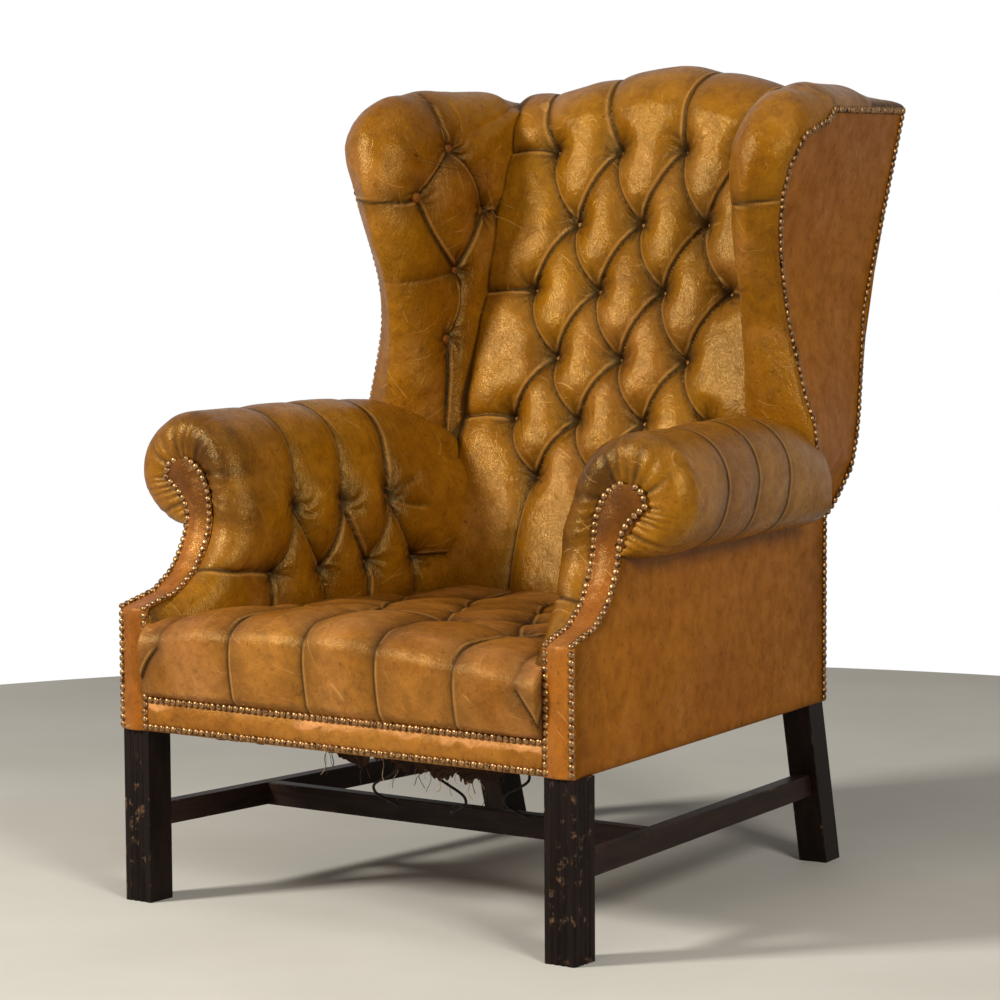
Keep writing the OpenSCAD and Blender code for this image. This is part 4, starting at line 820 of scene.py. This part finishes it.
def inside_wing(side, word, depth_at):
    seed = 24 + side * 3
    front, rear = panel_edges("outside_wing_" + word)
    edge = front[front[:, 2] > 570]
    top = np.stack([edge[-1] + (rear[-1] - edge[-1]) * t for t in np.linspace(0.12, 1, 7)])
    outline = path_at(rounded(np.concatenate([edge, top]), 2), np.linspace(0, 1, 268))
    n = len(outline)
    edge_x, y, z = outline.T
    flat2 = outline[:, 1:]
    tangent = unit(np.gradient(flat2, axis=0))
    # Outward is forwards along the front edge and upwards along the top
    outward = np.stack([-tangent[:, 1], tangent[:, 0]], 1)
    if outward[10, 0] > 0:
        outward = -outward
    seam_z = np.where(z < 1050, np.interp(z, [575, 985, 1057], [575, 930, 985]),
                      np.interp(y, [615, TOP_BEHIND], [985, WING_TOP_Z]))
    seam_z = np.maximum.accumulate(seam_z)
    seam = np.stack([button_y(seam_z) + 2, seam_z], 1)
    behind = y > TOP_BEHIND
    down = [TOP_BEHIND, TOP_LOW, TOP_END]
    seam[behind, 0] = np.maximum(seam[behind, 0], y[behind])
    seam[behind, 1] = np.interp(y[behind], down, [WING_TOP_Z, 1064, 1060])
    corner = np.hypot(y - 562, z - 1026)
    bulge = 25 + 4 * smooth((z - 780) / 120) + 17 * np.exp(-(corner / 46) ** 2)
    bulge *= np.interp(y, [735, TOP_LOW, TOP_END], [1, 0.6, 0.42])
    quiet = 1 - 0.95 * smooth((y - 725) / 40)
    x_at = lambda depth: 278 - 26.5 * smooth((depth - 500) / 230) ** 0.8
    inward = np.clip(0.5 * ((flat2 - seam) * outward).sum(1), -12, 38)
    start = flat2 - outward * inward[:, None]
    x_in = x_at(start[:, 0])
    x_apex = edge_x - 0.45 * (edge_x - x_in)
    # Below the crown the roll is narrower and turns later
    below = smooth((985 - z) / 40)
    roll = []
    for a in np.radians(np.linspace(0, 90, 26)):
        x = x_apex + (edge_x - x_apex) * math.cos(a) ** (1.5 + 0.9 * below)
        swollen = bulge * math.sin(a) ** (1 + 0.5 * below)
        roll.append(np.column_stack([x, flat2 + outward * swollen[:, None]]))
    for a in np.radians(np.linspace(0, 90, 34))[1:]:
        x = x_apex - (x_apex - x_in) * math.sin(a)
        swollen = -inward + (bulge + inward) * math.cos(a)
        roll.append(np.column_stack([x, flat2 + outward * swollen[:, None]]))
    roll = np.array(roll)
    for _ in range(14):
        roll[1:-1] = (roll[:-2] + 2 * roll[1:-1] + roll[2:]) / 4
    rows = list(roll)
    run = np.concatenate([np.zeros((1, n)), np.cumsum(np.linalg.norm(np.diff(roll, axis=0), axis=2), axis=0)])
    rows_pattern = [flat2 + outward * (run[-1] - r - inward)[:, None] for r in run]
    rows_crown = [(2 + 9 * smooth((v - 0.35) / 0.65)) * quiet for v in np.linspace(0, 1, len(rows))]
    for t in np.linspace(0, 1, 78)[1:]:
        yz = start + (seam - start) * t
        rows.append(np.column_stack([x_at(yz[:, 0]), yz]))
        rows_pattern.append(yz)
        rows_crown.append((11 + 11 * smooth(t * 2.5) * smooth((1 - t) * 4 + 0.3)) * quiet)
    grid = np.array(rows).transpose(1, 0, 2)
    pattern = np.array(rows_pattern).transpose(1, 0, 2)
    crown = np.array(rows_crown).T
    normal = grid_normals(grid, (60, 100), (-1, 0, 0))
    height, lift, fold, pale = wing_quilt(seed).measure(pattern)
    wave = waves(grid, (55, seed, 1.3), (20, seed + 1, 0.6))
    taut = smooth(np.arange(crown.shape[1]) / 6.0)[None] * (0.1 + 0.9 * quiet)[:, None]
    rise = crown * (height - 0.12) + lift * np.clip(crown / 13, 0.2, 1) + wave
    outer = grid + normal * (rise * taut)[..., None]
    # Back side, over the board
    seam_in = seam - np.array([0, 1]) * (22 * smooth((y - 690) / 60))[:, None]
    board = [np.column_stack([edge_x - d, flat2 - outward * 5]) for d in (26, 4)]
    inner = np.array([np.column_stack([np.full(n, 268.0), seam_in]), *board]).transpose(1, 0, 2)
    # Painted shade where the wing meets the back
    at_back = smooth((outer[..., 1] - depth_at(outer[..., 2]) + 7) / 6) * smooth((1072 - outer[..., 2]) / 12)
    fold = np.maximum(fold, 0.9 * at_back)
    padded_cover("tufted_wing_" + word, ("inside_wing_cover_" + word,), outer, inner,
                 (height, fold, pale), seed + 5, side=side)


# Seat: the front goes over a crest into sewn diamonds

SEAT_SHIFT = 10.0
SEAT_PITCH = 119.0
SEAT_ROWS_Y = [135.0, 245.0, 355.0, 465.0]
SEAT_FRONT_HALF = 319
CREST_Y, CREST_DROP = 34.0, 22.0
BORDER_TOP = 281.9
SEAT_END = 596.0


def seat_quilt():
    """Pattern: x, and the distance behind the crest's line, negative down the front."""
    q = Quilt(52, seed=5)
    reach = lambda y: side_x(y) - 62
    rows = []
    for r, y in enumerate(SEAT_ROWS_Y):
        xs = [SEAT_SHIFT + SEAT_PITCH * (k - (0.5 if r % 2 == 0 else 0)) for k in range(-2, 4)]
        rows.append([(x, y) for x in xs if abs(x) < reach(y) - 18])
        q.button(*rows[-1])
    for a_row, b_row in zip(rows, rows[1:]):
        for a in a_row:
            for b in b_row:
                if abs(a[0] - b[0]) < SEAT_PITCH * 0.6:
                    q.fold(a, b, middle=0.5)
    for a, b in zip(rows[0], rows[0][1:]):
        q.fold(a, b, (0.05, 0.05), 0.62, bow=6, dark=0.8)
    for x in (-168.0, -46.0, 70.0, 192.0):
        end = min(rows[0], key=lambda p: abs(p[0] - x))
        q.fold((x, -140), (x, -6), (0.7, 0.45), 0.55, bow=0)
        q.fold((x, -6), end, (0.45, 0.05), 0.35, bow=2)
    for x, y in rows[-1]:
        q.fold((x, y), (x, SEAT_END + 20), (0.05, 0.6), 0.5)
    for row in rows:
        for x, y in (row[0], row[-1]):
            q.fold((x, y), (math.copysign(reach(y) + 16, x), y + 10), (0.05, 0.8), dark=0.5)
    for s in (-1, 1):
        q.fold((s * 289, -20), (s * 324, -72), (0.4, 0.4), 0.4, bow=s * 4, dark=0.9)
        q.seam([(s * 289, -20), (s * 276, 60), (s * 262, 250), (s * 240, 560)], 0.62, 0.35)
    return q


def seat_half(y):
    """Half width of the seat: between the facings in front, between the arms behind them."""
    return SEAT_FRONT_HALF + (side_x(y) - 60 - SEAT_FRONT_HALF) * smooth((y - 20) / 90)


def seat():
    across = np.linspace(-1, 1, 259)
    front_n, over_n, top_n = 42, 34, 220
    base, pattern, crown = [], [], []
    for u in across:
        x_edge = SEAT_FRONT_HALF * u
        top = (384 + 4 * math.cos(math.pi * u * 0.9) - 9 * smooth((x_edge - 30) / 170)
               - 10 * smooth((abs(x_edge) - 200) / 110))
        z1 = np.linspace(BORDER_TOP - 6, top - CREST_DROP, front_n)
        y1 = 2.5 - 11 * np.sin(np.pi * np.linspace(0, 0.62, front_n)) ** 0.8
        a = np.radians(np.linspace(0, 90, over_n))[1:]
        t = np.linspace(0, 1, top_n)[1:]
        y = np.concatenate([y1, y1[-1] + (CREST_Y - y1[-1]) * (1 - np.cos(a)),
                            CREST_Y + (SEAT_END - CREST_Y) * t])
        z = np.concatenate([z1, z1[-1] + CREST_DROP * np.sin(a), top + (364 - top) * smooth(t * 1.15)])
        run = np.concatenate([[0], np.cumsum(np.hypot(np.diff(y), np.diff(z)))])
        developed = np.where(y > CREST_Y, y, run - run[front_n + over_n - 2] + CREST_Y)
        x = u * seat_half(y)
        base.append(np.stack([x, y, z], 1))
        pattern.append(np.stack([x, developed], 1))
        crown.append(np.interp(developed, [-110, -60, -20, 60, 600], [7, 10, 13, 18, 18]))
    base, pattern, crown = np.array(base), np.array(pattern), np.array(crown)
    n, m = crown.shape
    normal = grid_normals(base, (n // 2, m // 2), (0, 0, 1))
    height, lift, fold, pale = seat_quilt().measure(pattern)
    wave = waves(base, (80, 9, 1.5), (26, 10, 0.8))
    taut = smooth(np.arange(m) / 8.0)[None]
    outer = base + normal * ((crown * height + lift * 0.8 + wave) * taut)[..., None]
    y_in, low = 12.0, BORDER_TOP - 6
    half_end, half_in = seat_half(SEAT_END), seat_half(y_in)
    lining = [(half_end, SEAT_END, 334), (half_in, y_in, 355), (half_in, y_in, 297),
              (SEAT_FRONT_HALF, 3.2, 297), (SEAT_FRONT_HALF, 3.2, low)]
    inner = [[[u * half, y, z] for half, y, z in lining] for u in across]
    padded_cover("tufted_seat", ("seat_cover", "seat_stuffing"), outer, inner, (height, fold, pale),
                 31, 0.25, material=SEAT_HIDE,
                 rubbed=lambda p: 0.5 * smooth((40 - p[:, 1]) / 40) * smooth(noise(p, 60, 33) + 0.2))


# Flat panels, border and facings


def side_panel(kind, side, word, seed, rows=90, columns=70):
    """A stretched hide between two upright edges, a little fuller in its middle and burnt along its edges."""
    node = "%s_%s" % (kind, word)
    front, rear = panel_edges(node)
    v, u = np.linspace(0, 1, rows), np.linspace(0, 1, columns)
    grid = path_at(front, v)[None] * (1 - u[:, None, None]) + path_at(rear, v)[None] * u[:, None, None]
    normal = grid_normals(grid, (columns // 2, rows // 2), (1, -0.2, 0))
    full = np.sin(np.pi * u)[:, None] * np.sin(np.pi * v)[None] ** 0.7
    wave = waves(grid, (140, seed, 1.2), (45, seed + 1, 0.35))
    points = two_sided(grid + normal * (full * (1.6 + wave))[..., None], grid - normal * 3.0)
    from_end = np.minimum(np.arange(columns), np.arange(columns)[::-1])[:, None]
    # Painted shade along the panel's edges, carried as its fold value
    edge = np.minimum(from_end / 2.0, np.minimum(v, 1 - v)[None] * rows / 2.0)
    burnt = np.exp(-from_end / 5.0) * (0.5 + waves(grid, (60, seed + 3, 0.5)))
    new_piece("%s_hide_%s" % (kind, word), mirrored(points, side), loft_faces(columns, rows * 2), PANEL_HIDE,
              "tan_leather", (node,), fold=with_zeros(np.exp(-edge ** 2) * 0.35, rows),
              worn=0.2 * smooth(noise(points, 70, seed + 2) - 0.1),
              soil=with_zeros(np.clip(burnt, 0, 1) * 0.55, rows))


def facing(side, word):
    node = "arm_facing_" + word
    inner, outer = [], []
    for z, at in at_levels(node_points(node)):
        y = at[:, 1].min()
        at = at[at[:, 1] < y + 2.0]
        inner.append([at[:, 0].min(), y, z])
        outer.append([at[:, 0].max(), y, z])
    v, u = np.linspace(0, 1, 150), np.linspace(0, 1, 15)
    grid = path_at(inner, v)[None] * (1 - u[:, None, None]) + path_at(outer, v)[None] * u[:, None, None]
    out = np.array([0, -1, 0.0])
    full = np.sin(np.pi * u)[:, None] ** 1.3
    wave = waves(grid, (30, 60 + side, 0.5))
    points = two_sided(grid + out * (full * (5.5 + wave) + 0.2)[..., None], grid - out * 3.0)
    z = points[:, 2]
    new_piece("facing_hide_" + word, mirrored(points, side), loft_faces(len(u), 2 * len(v)), FACING_HIDE,
              "dark_leather", (node,), worn=0.5 * smooth((430 - z) / 60) * smooth((z - 380) / 20),
              soil=0.72 * smooth((z - 470) / 80) + 0.12 * smooth(noise(points, 40, 66)))


def border():
    low, high = (np.array(c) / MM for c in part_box("front_border"))
    low[1] -= FRONT / MM
    high[1] -= FRONT / MM
    n, m = 240, 26
    x, z = np.linspace(low[0], high[0], n), np.linspace(low[2], high[2], m)
    full = np.sin(np.pi * np.clip((z - low[2] - 9) / (high[2] - low[2] - 18), 0, 1)) ** 0.8
    grid = np.stack(np.broadcast_arrays(x[:, None], 0.0, z[None]), -1)
    front, rear = grid.copy(), grid.copy()
    front[..., 1] = low[1] + 0.4 - full[None] * (2.6 + waves(grid, (40, 70, 1)) * 0.9)
    rear[..., 1] = high[1]
    points = two_sided(front, rear)
    rag = smooth((points[:, 2] - 261 + 5 * noise(points, 16, 71) + 2 * noise(points, 4, 73)) / 4)
    pale = 1.4 * rag * smooth(noise(points, 50, 72) * 1.2 + 0.4 + 0.5 * smooth((points[:, 0] + 50) / 200))
    new_piece("front_band", points, loft_faces(n, m * 2), SEAT_HIDE, "tan_leather", ("front_border",),
              worn=pale)


def outside_back():
    rings = at_levels(node_points("outside_back"))
    levels, half, rear = zip(*((z, at[:, 0].max(), at[:, 1].max()) for z, at in rings))
    n, m = 110, 150
    z = np.linspace(levels[0], levels[-1], m)
    u = np.linspace(-1, 1, n)[:, None]
    grid = np.stack(np.broadcast_arrays(
        u * np.interp(z, levels, half)[None], np.interp(z, levels, rear), z), -1)
    full = (1 - u ** 8) * np.sin(np.pi * np.linspace(0, 1, m))[None] ** 0.4
    outer, inner = grid.copy(), grid.copy()
    outer[..., 1] += full * (2.2 + waves(grid, (120, 80, 1)))
    inner[..., 1] -= 3.0
    points = two_sided(outer, inner)
    new_piece("outside_back_hide", points, loft_faces(n, m * 2), PANEL_HIDE, "tan_leather", ("outside_back",),
              worn=0.2 * smooth(noise(points, 80, 81)))


# Nails and buttons stand where the CAD has them

NAIL_PROFILE = [(0.90, -0.4), (1.0, 0.0), (0.97, 0.30), (0.86, 0.58), (0.66, 0.82), (0.38, 0.96)]
BUTTON_PROFILE = [(0.92, -0.3), (1.0, 0.15), (0.97, 0.45), (0.84, 0.72), (0.60, 0.90), (0.30, 0.98)]
BUTTON_R, BUTTON_H = 0.0078, 0.0066


def islands(node):
    """Points of each separate solid in a CAD node, in metres."""
    work = joined(node)
    seen, found = set(), []
    for start in work.verts:
        if start in seen:
            continue
        stack, group = [start], []
        seen.add(start)
        while stack:
            v = stack.pop()
            group.append(tuple(v.co))
            for e in v.link_edges:
                w = e.other_vert(v)
                if w not in seen:
                    seen.add(w)
                    stack.append(w)
        found.append(np.array(group))
    work.free()
    return found


def domes(name, node, material, slot, profile, sides, place, **values):
    """One dome at each solid of a node. profile holds (radius, height) from the rim to the top."""
    points, faces = [], []
    for k, group in enumerate(islands(node)):
        foot, axis, radius, height = place(group, k)
        a = unit(np.cross(axis, [0, 0, 1.0] if abs(axis[2]) < 0.9 else [1.0, 0, 0]))
        b = np.cross(axis, a)
        start = len(points)
        for r, h in profile:
            for j in range(sides):
                t = 2 * math.pi * (j + 0.37 * k) / sides
                points.append(foot + radius * r * (math.cos(t) * a + math.sin(t) * b) + axis * h * height)
        points.append(foot + axis * profile[-1][1] * 1.02 * height)
        tip = len(points) - 1
        last = tip - sides
        faces += [[start + i for i in face] for face in loft_faces(len(profile), sides, caps=False)]
        faces += [[last + j, last + (j + 1) % sides, tip] for j in range(sides)]
        faces.append([start + j for j in range(sides - 1, -1, -1)])
    points = np.array(points)
    points[:, 1] -= FRONT
    new_piece(name, points / MM, faces, material, slot, (node,),
              **{key: np.full(len(points), value) for key, value in values.items()})


def nail_place(group, k):
    """Six points round the rim and one at the top: the top is as far from all the others."""
    d = np.linalg.norm(group[:, None] - group[None], axis=2)
    tip = int(np.argmin([np.ptp(np.delete(row, i)) for i, row in enumerate(d)]))
    rim = np.delete(group, tip, 0)
    foot = rim.mean(0)
    rng = np.random.default_rng(k + 7)
    axis = unit(unit(group[tip] - foot) + rng.normal(0, 0.035, 3))
    radius = np.linalg.norm(rim - foot, axis=1).mean() * 1.05
    return foot + axis * 0.0005, axis, radius, np.linalg.norm(group[tip] - foot) * rng.uniform(1.05, 1.2)


def button_place(toward):
    """Places of buttons whose tops face the way that toward gives for a centre."""
    def place(group, k):
        axis = unit(np.array(toward(group.mean(0)), float))
        foot = group.mean(0) - axis * (group.mean(0) @ axis - (group @ axis).min())
        return foot + axis * 0.0004, axis, BUTTON_R, BUTTON_H
    return place


def fasteners():
    pairs = ["%s_nails_%s" % (place, word) for place in ("facing", "wing", "back") for _, word in SIDES]
    for node in ["front_nails"] + pairs:
        domes(node.replace("_nails", "_brass_nails"), node, BRASS, "aged_brass", NAIL_PROFILE, 12,
              nail_place)
    inward = lambda c: -math.copysign(1, c[0])
    for kind, toward in (("back", lambda c: (0, -1, RAKE)), ("arm", lambda c: (inward(c), -TAPER, 0.05)),
                         ("wing", lambda c: (inward(c), -0.12, 0))):
        domes(kind + "_covered_buttons", kind + "_buttons", BUTTON_HIDE, "tan_leather", BUTTON_PROFILE, 18,
              button_place(toward), fold=0.12, soil=0.1)


# Legs, posts and stretchers: worn along their edges


def worn_wood(node, material, bevel=1.4, inset=3.0, broad=8e-4):
    mesh = frame["nodes"][node].data.copy()
    work = joined(node)
    bmesh.ops.dissolve_limit(work, angle_limit=math.radians(1.0), verts=work.verts, edges=work.edges)
    sharp = [e for e in work.edges if len(e.link_faces) == 2 and e.calc_face_angle(0) > math.radians(25)]
    made = bmesh.ops.bevel(work, geom=sharp, offset=bevel * MM, segments=2, affect="EDGES", profile=0.6,
                           clamp_overlap=True)
    big = [f for f in work.faces if f.calc_area() > broad]
    bmesh.ops.inset_individual(work, faces=big, thickness=inset * MM, depth=0)
    layer = work.verts.layers.float.new("edge")
    for face in made["faces"]:
        if face.is_valid:
            for v in face.verts:
                v[layer] = 1.0
    write_back(work, mesh)
    add_piece(node + "_wood", mesh, material, (node,))


def woven(node):
    """A hidden lining: the CAD's own shape, with its weave."""
    mesh = frame["nodes"][node].data.copy()
    work = joined(node)
    bmesh.ops.subdivide_edges(work, edges=work.edges, cuts=3, use_grid_fill=True)
    write_back(work, mesh)
    add_piece(node + "_weave", mesh, JUTE, (node,))


# Springs, torn cloth and threads under the seat


def tube(name, line, radius, sides, material, slot):
    """A round wire along a line of points in millimetres."""
    line = np.asarray(line, float)
    tangent = unit(np.gradient(line, axis=0))
    up = np.array([0.0, 0.0, 1.0])
    angles = 2 * np.pi * np.arange(sides) / sides
    rings = []
    a = unit(np.cross(tangent[0], up) if abs(tangent[0] @ up) < 0.9 else np.cross(tangent[0], [1.0, 0, 0]))
    for p, t in zip(line, tangent):
        a = unit(a - t * (a @ t))
        rings.append(p + radius * (np.cos(angles)[:, None] * a + np.sin(angles)[:, None] * np.cross(t, a)))
    return new_piece(name, np.concatenate(rings), loft_faces(len(line), sides), material, slot)


def springs():
    """The source's own route: level from the rear rail, then curled down at the loose front end."""
    wire, width, wave_len, curl_r = 3.8, 50.0, 68.0, 92.0
    rail_top, rail_t, leg_w, gap = 295.0, 28.0, 45.0, 105.0
    back_y, z0 = FRAME_DEPTH - rail_t / 2, rail_top + wire / 2
    curl_y = leg_w + rail_t + curl_r + wire * 6
    run = back_y - curl_y
    shares = [(0, 0.62), (0.17, 1), (0.33, 0.62), (0.5, -0.62), (0.67, -1), (0.83, -0.62), (1, 0.62)]
    for k, turn in enumerate((38.0, 62.0, 128.0, 128.0, 124.0)):
        length = run + curl_r * math.radians(turn)
        bends = math.floor(length / wave_len)
        s = np.linspace(0, length, bends * 6 * 5 + 1)
        w = s / length * bends
        x = width / 2 * np.interp(w - np.floor(w), *zip(*shares))
        x = np.convolve(np.pad(x, 3, "edge"), np.ones(7) / 7, "valid") * (-1) ** k
        a = np.maximum(0, s - run) / curl_r
        y = np.where(s <= run, back_y - s, curl_y - curl_r * np.sin(a))
        z = np.where(s <= run, z0, z0 - curl_r * (1 - np.cos(a)))
        line = np.stack([x + gap * (k - 2), y, z], 1)
        tube("seat_spring_%d" % (k + 1), line, wire / 2, 10, STEEL, "spring_steel")
    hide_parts("seat_springs")


def torn_cloth():
    low, high = (np.array(c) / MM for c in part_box("dust_cloth"))
    y0 = (low[1] + high[1]) / 2 - FRONT / MM
    half, top, drop = high[0], high[2], high[2] - low[2]
    n, m = 300, 30
    x = np.linspace(-half, half, n)
    line = np.stack([x, 0 * x, 0 * x], 1)
    # How far down the cloth is left, as a share of the drop of its CAD node
    rag = 0.55 + 0.28 * noise(line, 42, 90) + 0.22 * noise(line, 11, 91) + 0.14 * noise(line, 3.5, 92)
    rag = np.clip(rag, 0.16, 1.0) * (0.22 + 0.78 * smooth((x + 70) / 120))
    rag = rag * np.clip((half - np.abs(x)) / 30, 0.25, 1)
    rag = np.maximum(rag * 0.8, 0.1)
    v = np.linspace(0, 1, m)
    z = top - drop * rag[:, None] * v[None]
    y = y0 + 3 * np.sin(x / 17.0)[:, None] * v[None] + 5 * noise(line, 30, 93)[:, None] * v[None] ** 1.5
    grid = np.stack([np.broadcast_to(x[:, None], z.shape), y, z], -1)
    points = two_sided(grid, grid + np.array([0, 0.7, 0]))
    cloth = new_piece("torn_dust_cloth", points, loft_faces(n, m * 2), RAGGED, "jute", ("dust_cloth",))
    rng = np.random.default_rng(17)
    for k in range(26):
        start = grid[rng.integers(int(0.42 * n), n - 8), -1] - np.array([0, 0, -2])
        length = rng.uniform(8, 34)
        s = np.linspace(0, 1, 12)
        bend, turn = rng.uniform(-12, 12), rng.uniform(-8, 8)
        line = start + np.stack([bend * s ** 1.6 + 2 * np.sin(s * 7 + k), turn * s ** 1.4,
                                 -length * s + 3 * np.sin(s * 5)], 1)
        tube("loose_thread_%02d" % (k + 1), line, rng.uniform(0.25, 0.6), 5,
                            RAGGED if k % 3 else THREAD, "jute")


back_depth = inside_back()
for side, word in SIDES:
    inside_arm(side, word)
    inside_wing(side, word, back_depth)
seat()
for side, word in SIDES:
    side_panel("outside_arm", side, word, 40 + side)
    side_panel("outside_wing", side, word, 50 + side)
for side, word in SIDES:
    facing(side, word)
border()
outside_back()
fasteners()
for _, word in SIDES:
    worn_wood("front_leg_" + word, ESPRESSO)
    worn_wood("rear_post_" + word, ESPRESSO)
    worn_wood("side_stretcher_" + word, ESPRESSO_LYING)
worn_wood("cross_stretcher", ESPRESSO_LYING)
springs()
torn_cloth()
for node in ("seat_hessian", "back_webbing", "arm_webbing_left", "arm_webbing_right"):
    woven(node)
for name, node in frame["nodes"].items():
    if not node.hide_render:
        node.data.materials.clear()
        node.data.materials.append(STEEL if name == "spring_clips" else RAW_WOOD)

# Stage, light and camera

FLOOR_R = 2.08
# What camera, glossy and transmitted rays see of the white background
SEEN_SHARES = (("Is Glossy Ray", 0.4), ("Is Transmission Ray", 1.0))
# Turn, rise and roll of the photograph's camera in degrees, and its place from the legs' front in metres
CAMERA_ANGLES, CAMERA_PLACE, CAMERA_LENS = (35.3537, 5.4858, -0.3104), (2.755, -3.522, 0.986), 127.15


def stage():
    rings, n = 12, 160
    verts = [(0, 0, 0)] + [(FLOOR_R * k / rings * math.cos(2 * math.pi * j / n),
                            FLOOR_R * k / rings * math.sin(2 * math.pi * j / n), 0)
                           for k in range(1, rings + 1) for j in range(n)]
    faces = [(0, 1 + j, 1 + (j + 1) % n) for j in range(n)]
    faces += [(1 + i * n + j, 1 + (i + 1) * n + j, 1 + (i + 1) * n + (j + 1) % n, 1 + i * n + (j + 1) % n)
              for i in range(rings - 1) for j in range(n)]
    mesh = bpy.data.meshes.new("studio_floor")
    mesh.from_pydata(verts, [], faces)
    s = Shader("studio_paper")
    colour = s.layered(srgb(206, 204, 197), (s.ramp(s.noise(2.2, 4), 0.3, 0.7), srgb(216, 214, 208)))
    s.bumps((s.noise(55, 4), 0.1, 0.002),)
    mesh.materials.append(s.finish(colour, 0.7, specular=0.25))
    link("studio_floor", mesh)


def lamp(name, place, target, size, power, colour):
    data = bpy.data.lights.new(name, "AREA")
    data.shape, data.size, data.energy, data.color = "SQUARE", size, power, colour
    lamp_object = link(name, data)
    lamp_object.location = place
    lamp_object.rotation_euler = (Vector(target) - Vector(place)).to_track_quat("-Z", "Y").to_euler()


def world():
    w = bpy.data.worlds.new("studio")
    bpy.context.scene.world = w
    w.use_nodes = True
    tree = w.node_tree
    light, seen = tree.nodes["Background"], tree.nodes.new("ShaderNodeBackground")
    for node, colour, strength in ((light, (1, 0.98, 0.94, 1), 0.11), (seen, (1, 1, 1, 1), 1.0)):
        node.inputs["Color"].default_value = colour
        node.inputs["Strength"].default_value = strength
    path = tree.nodes.new("ShaderNodeLightPath")
    shown = path.outputs["Is Camera Ray"]
    for kind, share in SEEN_SHARES:
        part, top = tree.nodes.new("ShaderNodeMath"), tree.nodes.new("ShaderNodeMath")
        part.operation, top.operation = "MULTIPLY", "MAXIMUM"
        part.inputs[1].default_value = share
        tree.links.new(path.outputs[kind], part.inputs[0])
        tree.links.new(shown, top.inputs[0])
        tree.links.new(part.outputs[0], top.inputs[1])
        shown = top.outputs[0]
    mix = tree.nodes.new("ShaderNodeMixShader")
    for k, socket in enumerate((shown, light.outputs[0], seen.outputs[0])):
        tree.links.new(socket, mix.inputs[k])
    tree.links.new(mix.outputs[0], tree.nodes["World Output"].inputs["Surface"])


def camera():
    turn, rise, roll = (math.radians(v) for v in CAMERA_ANGLES)
    back = Vector((math.sin(turn) * math.cos(rise), -math.cos(turn) * math.cos(rise), math.sin(rise)))
    level = Vector((math.cos(turn), math.sin(turn), 0))
    upright = back.cross(level)
    right = level * math.cos(roll) + upright * math.sin(roll)
    up = -level * math.sin(roll) + upright * math.cos(roll)
    data = bpy.data.cameras.new("photo_camera")
    data.lens, data.sensor_width, data.clip_end = CAMERA_LENS, 36.0, 100
    obj = link("photo_camera", data)
    x, y, z = CAMERA_PLACE
    place = (x, FRONT + y, z)
    obj.matrix_world = Matrix([*((right[i], up[i], back[i], place[i]) for i in range(3)), (0, 0, 0, 1)])
    bpy.context.scene.camera = obj


stage()
world()
lamp("key", (-2.1, -3.3, 2.5), (0, 0, 0.6), 0.7, 178, (1, 0.95, 0.86))
lamp("overhead", (0.4, -0.8, 3.5), (0, 0, 0.5), 1.1, 14, (1, 0.96, 0.88))
lamp("side", (3.4, -2.2, 2.2), (0, 0, 0.6), 1.0, 106, (1, 0.95, 0.86))
camera()
bpy.context.scene.view_settings.view_transform = "Standard"
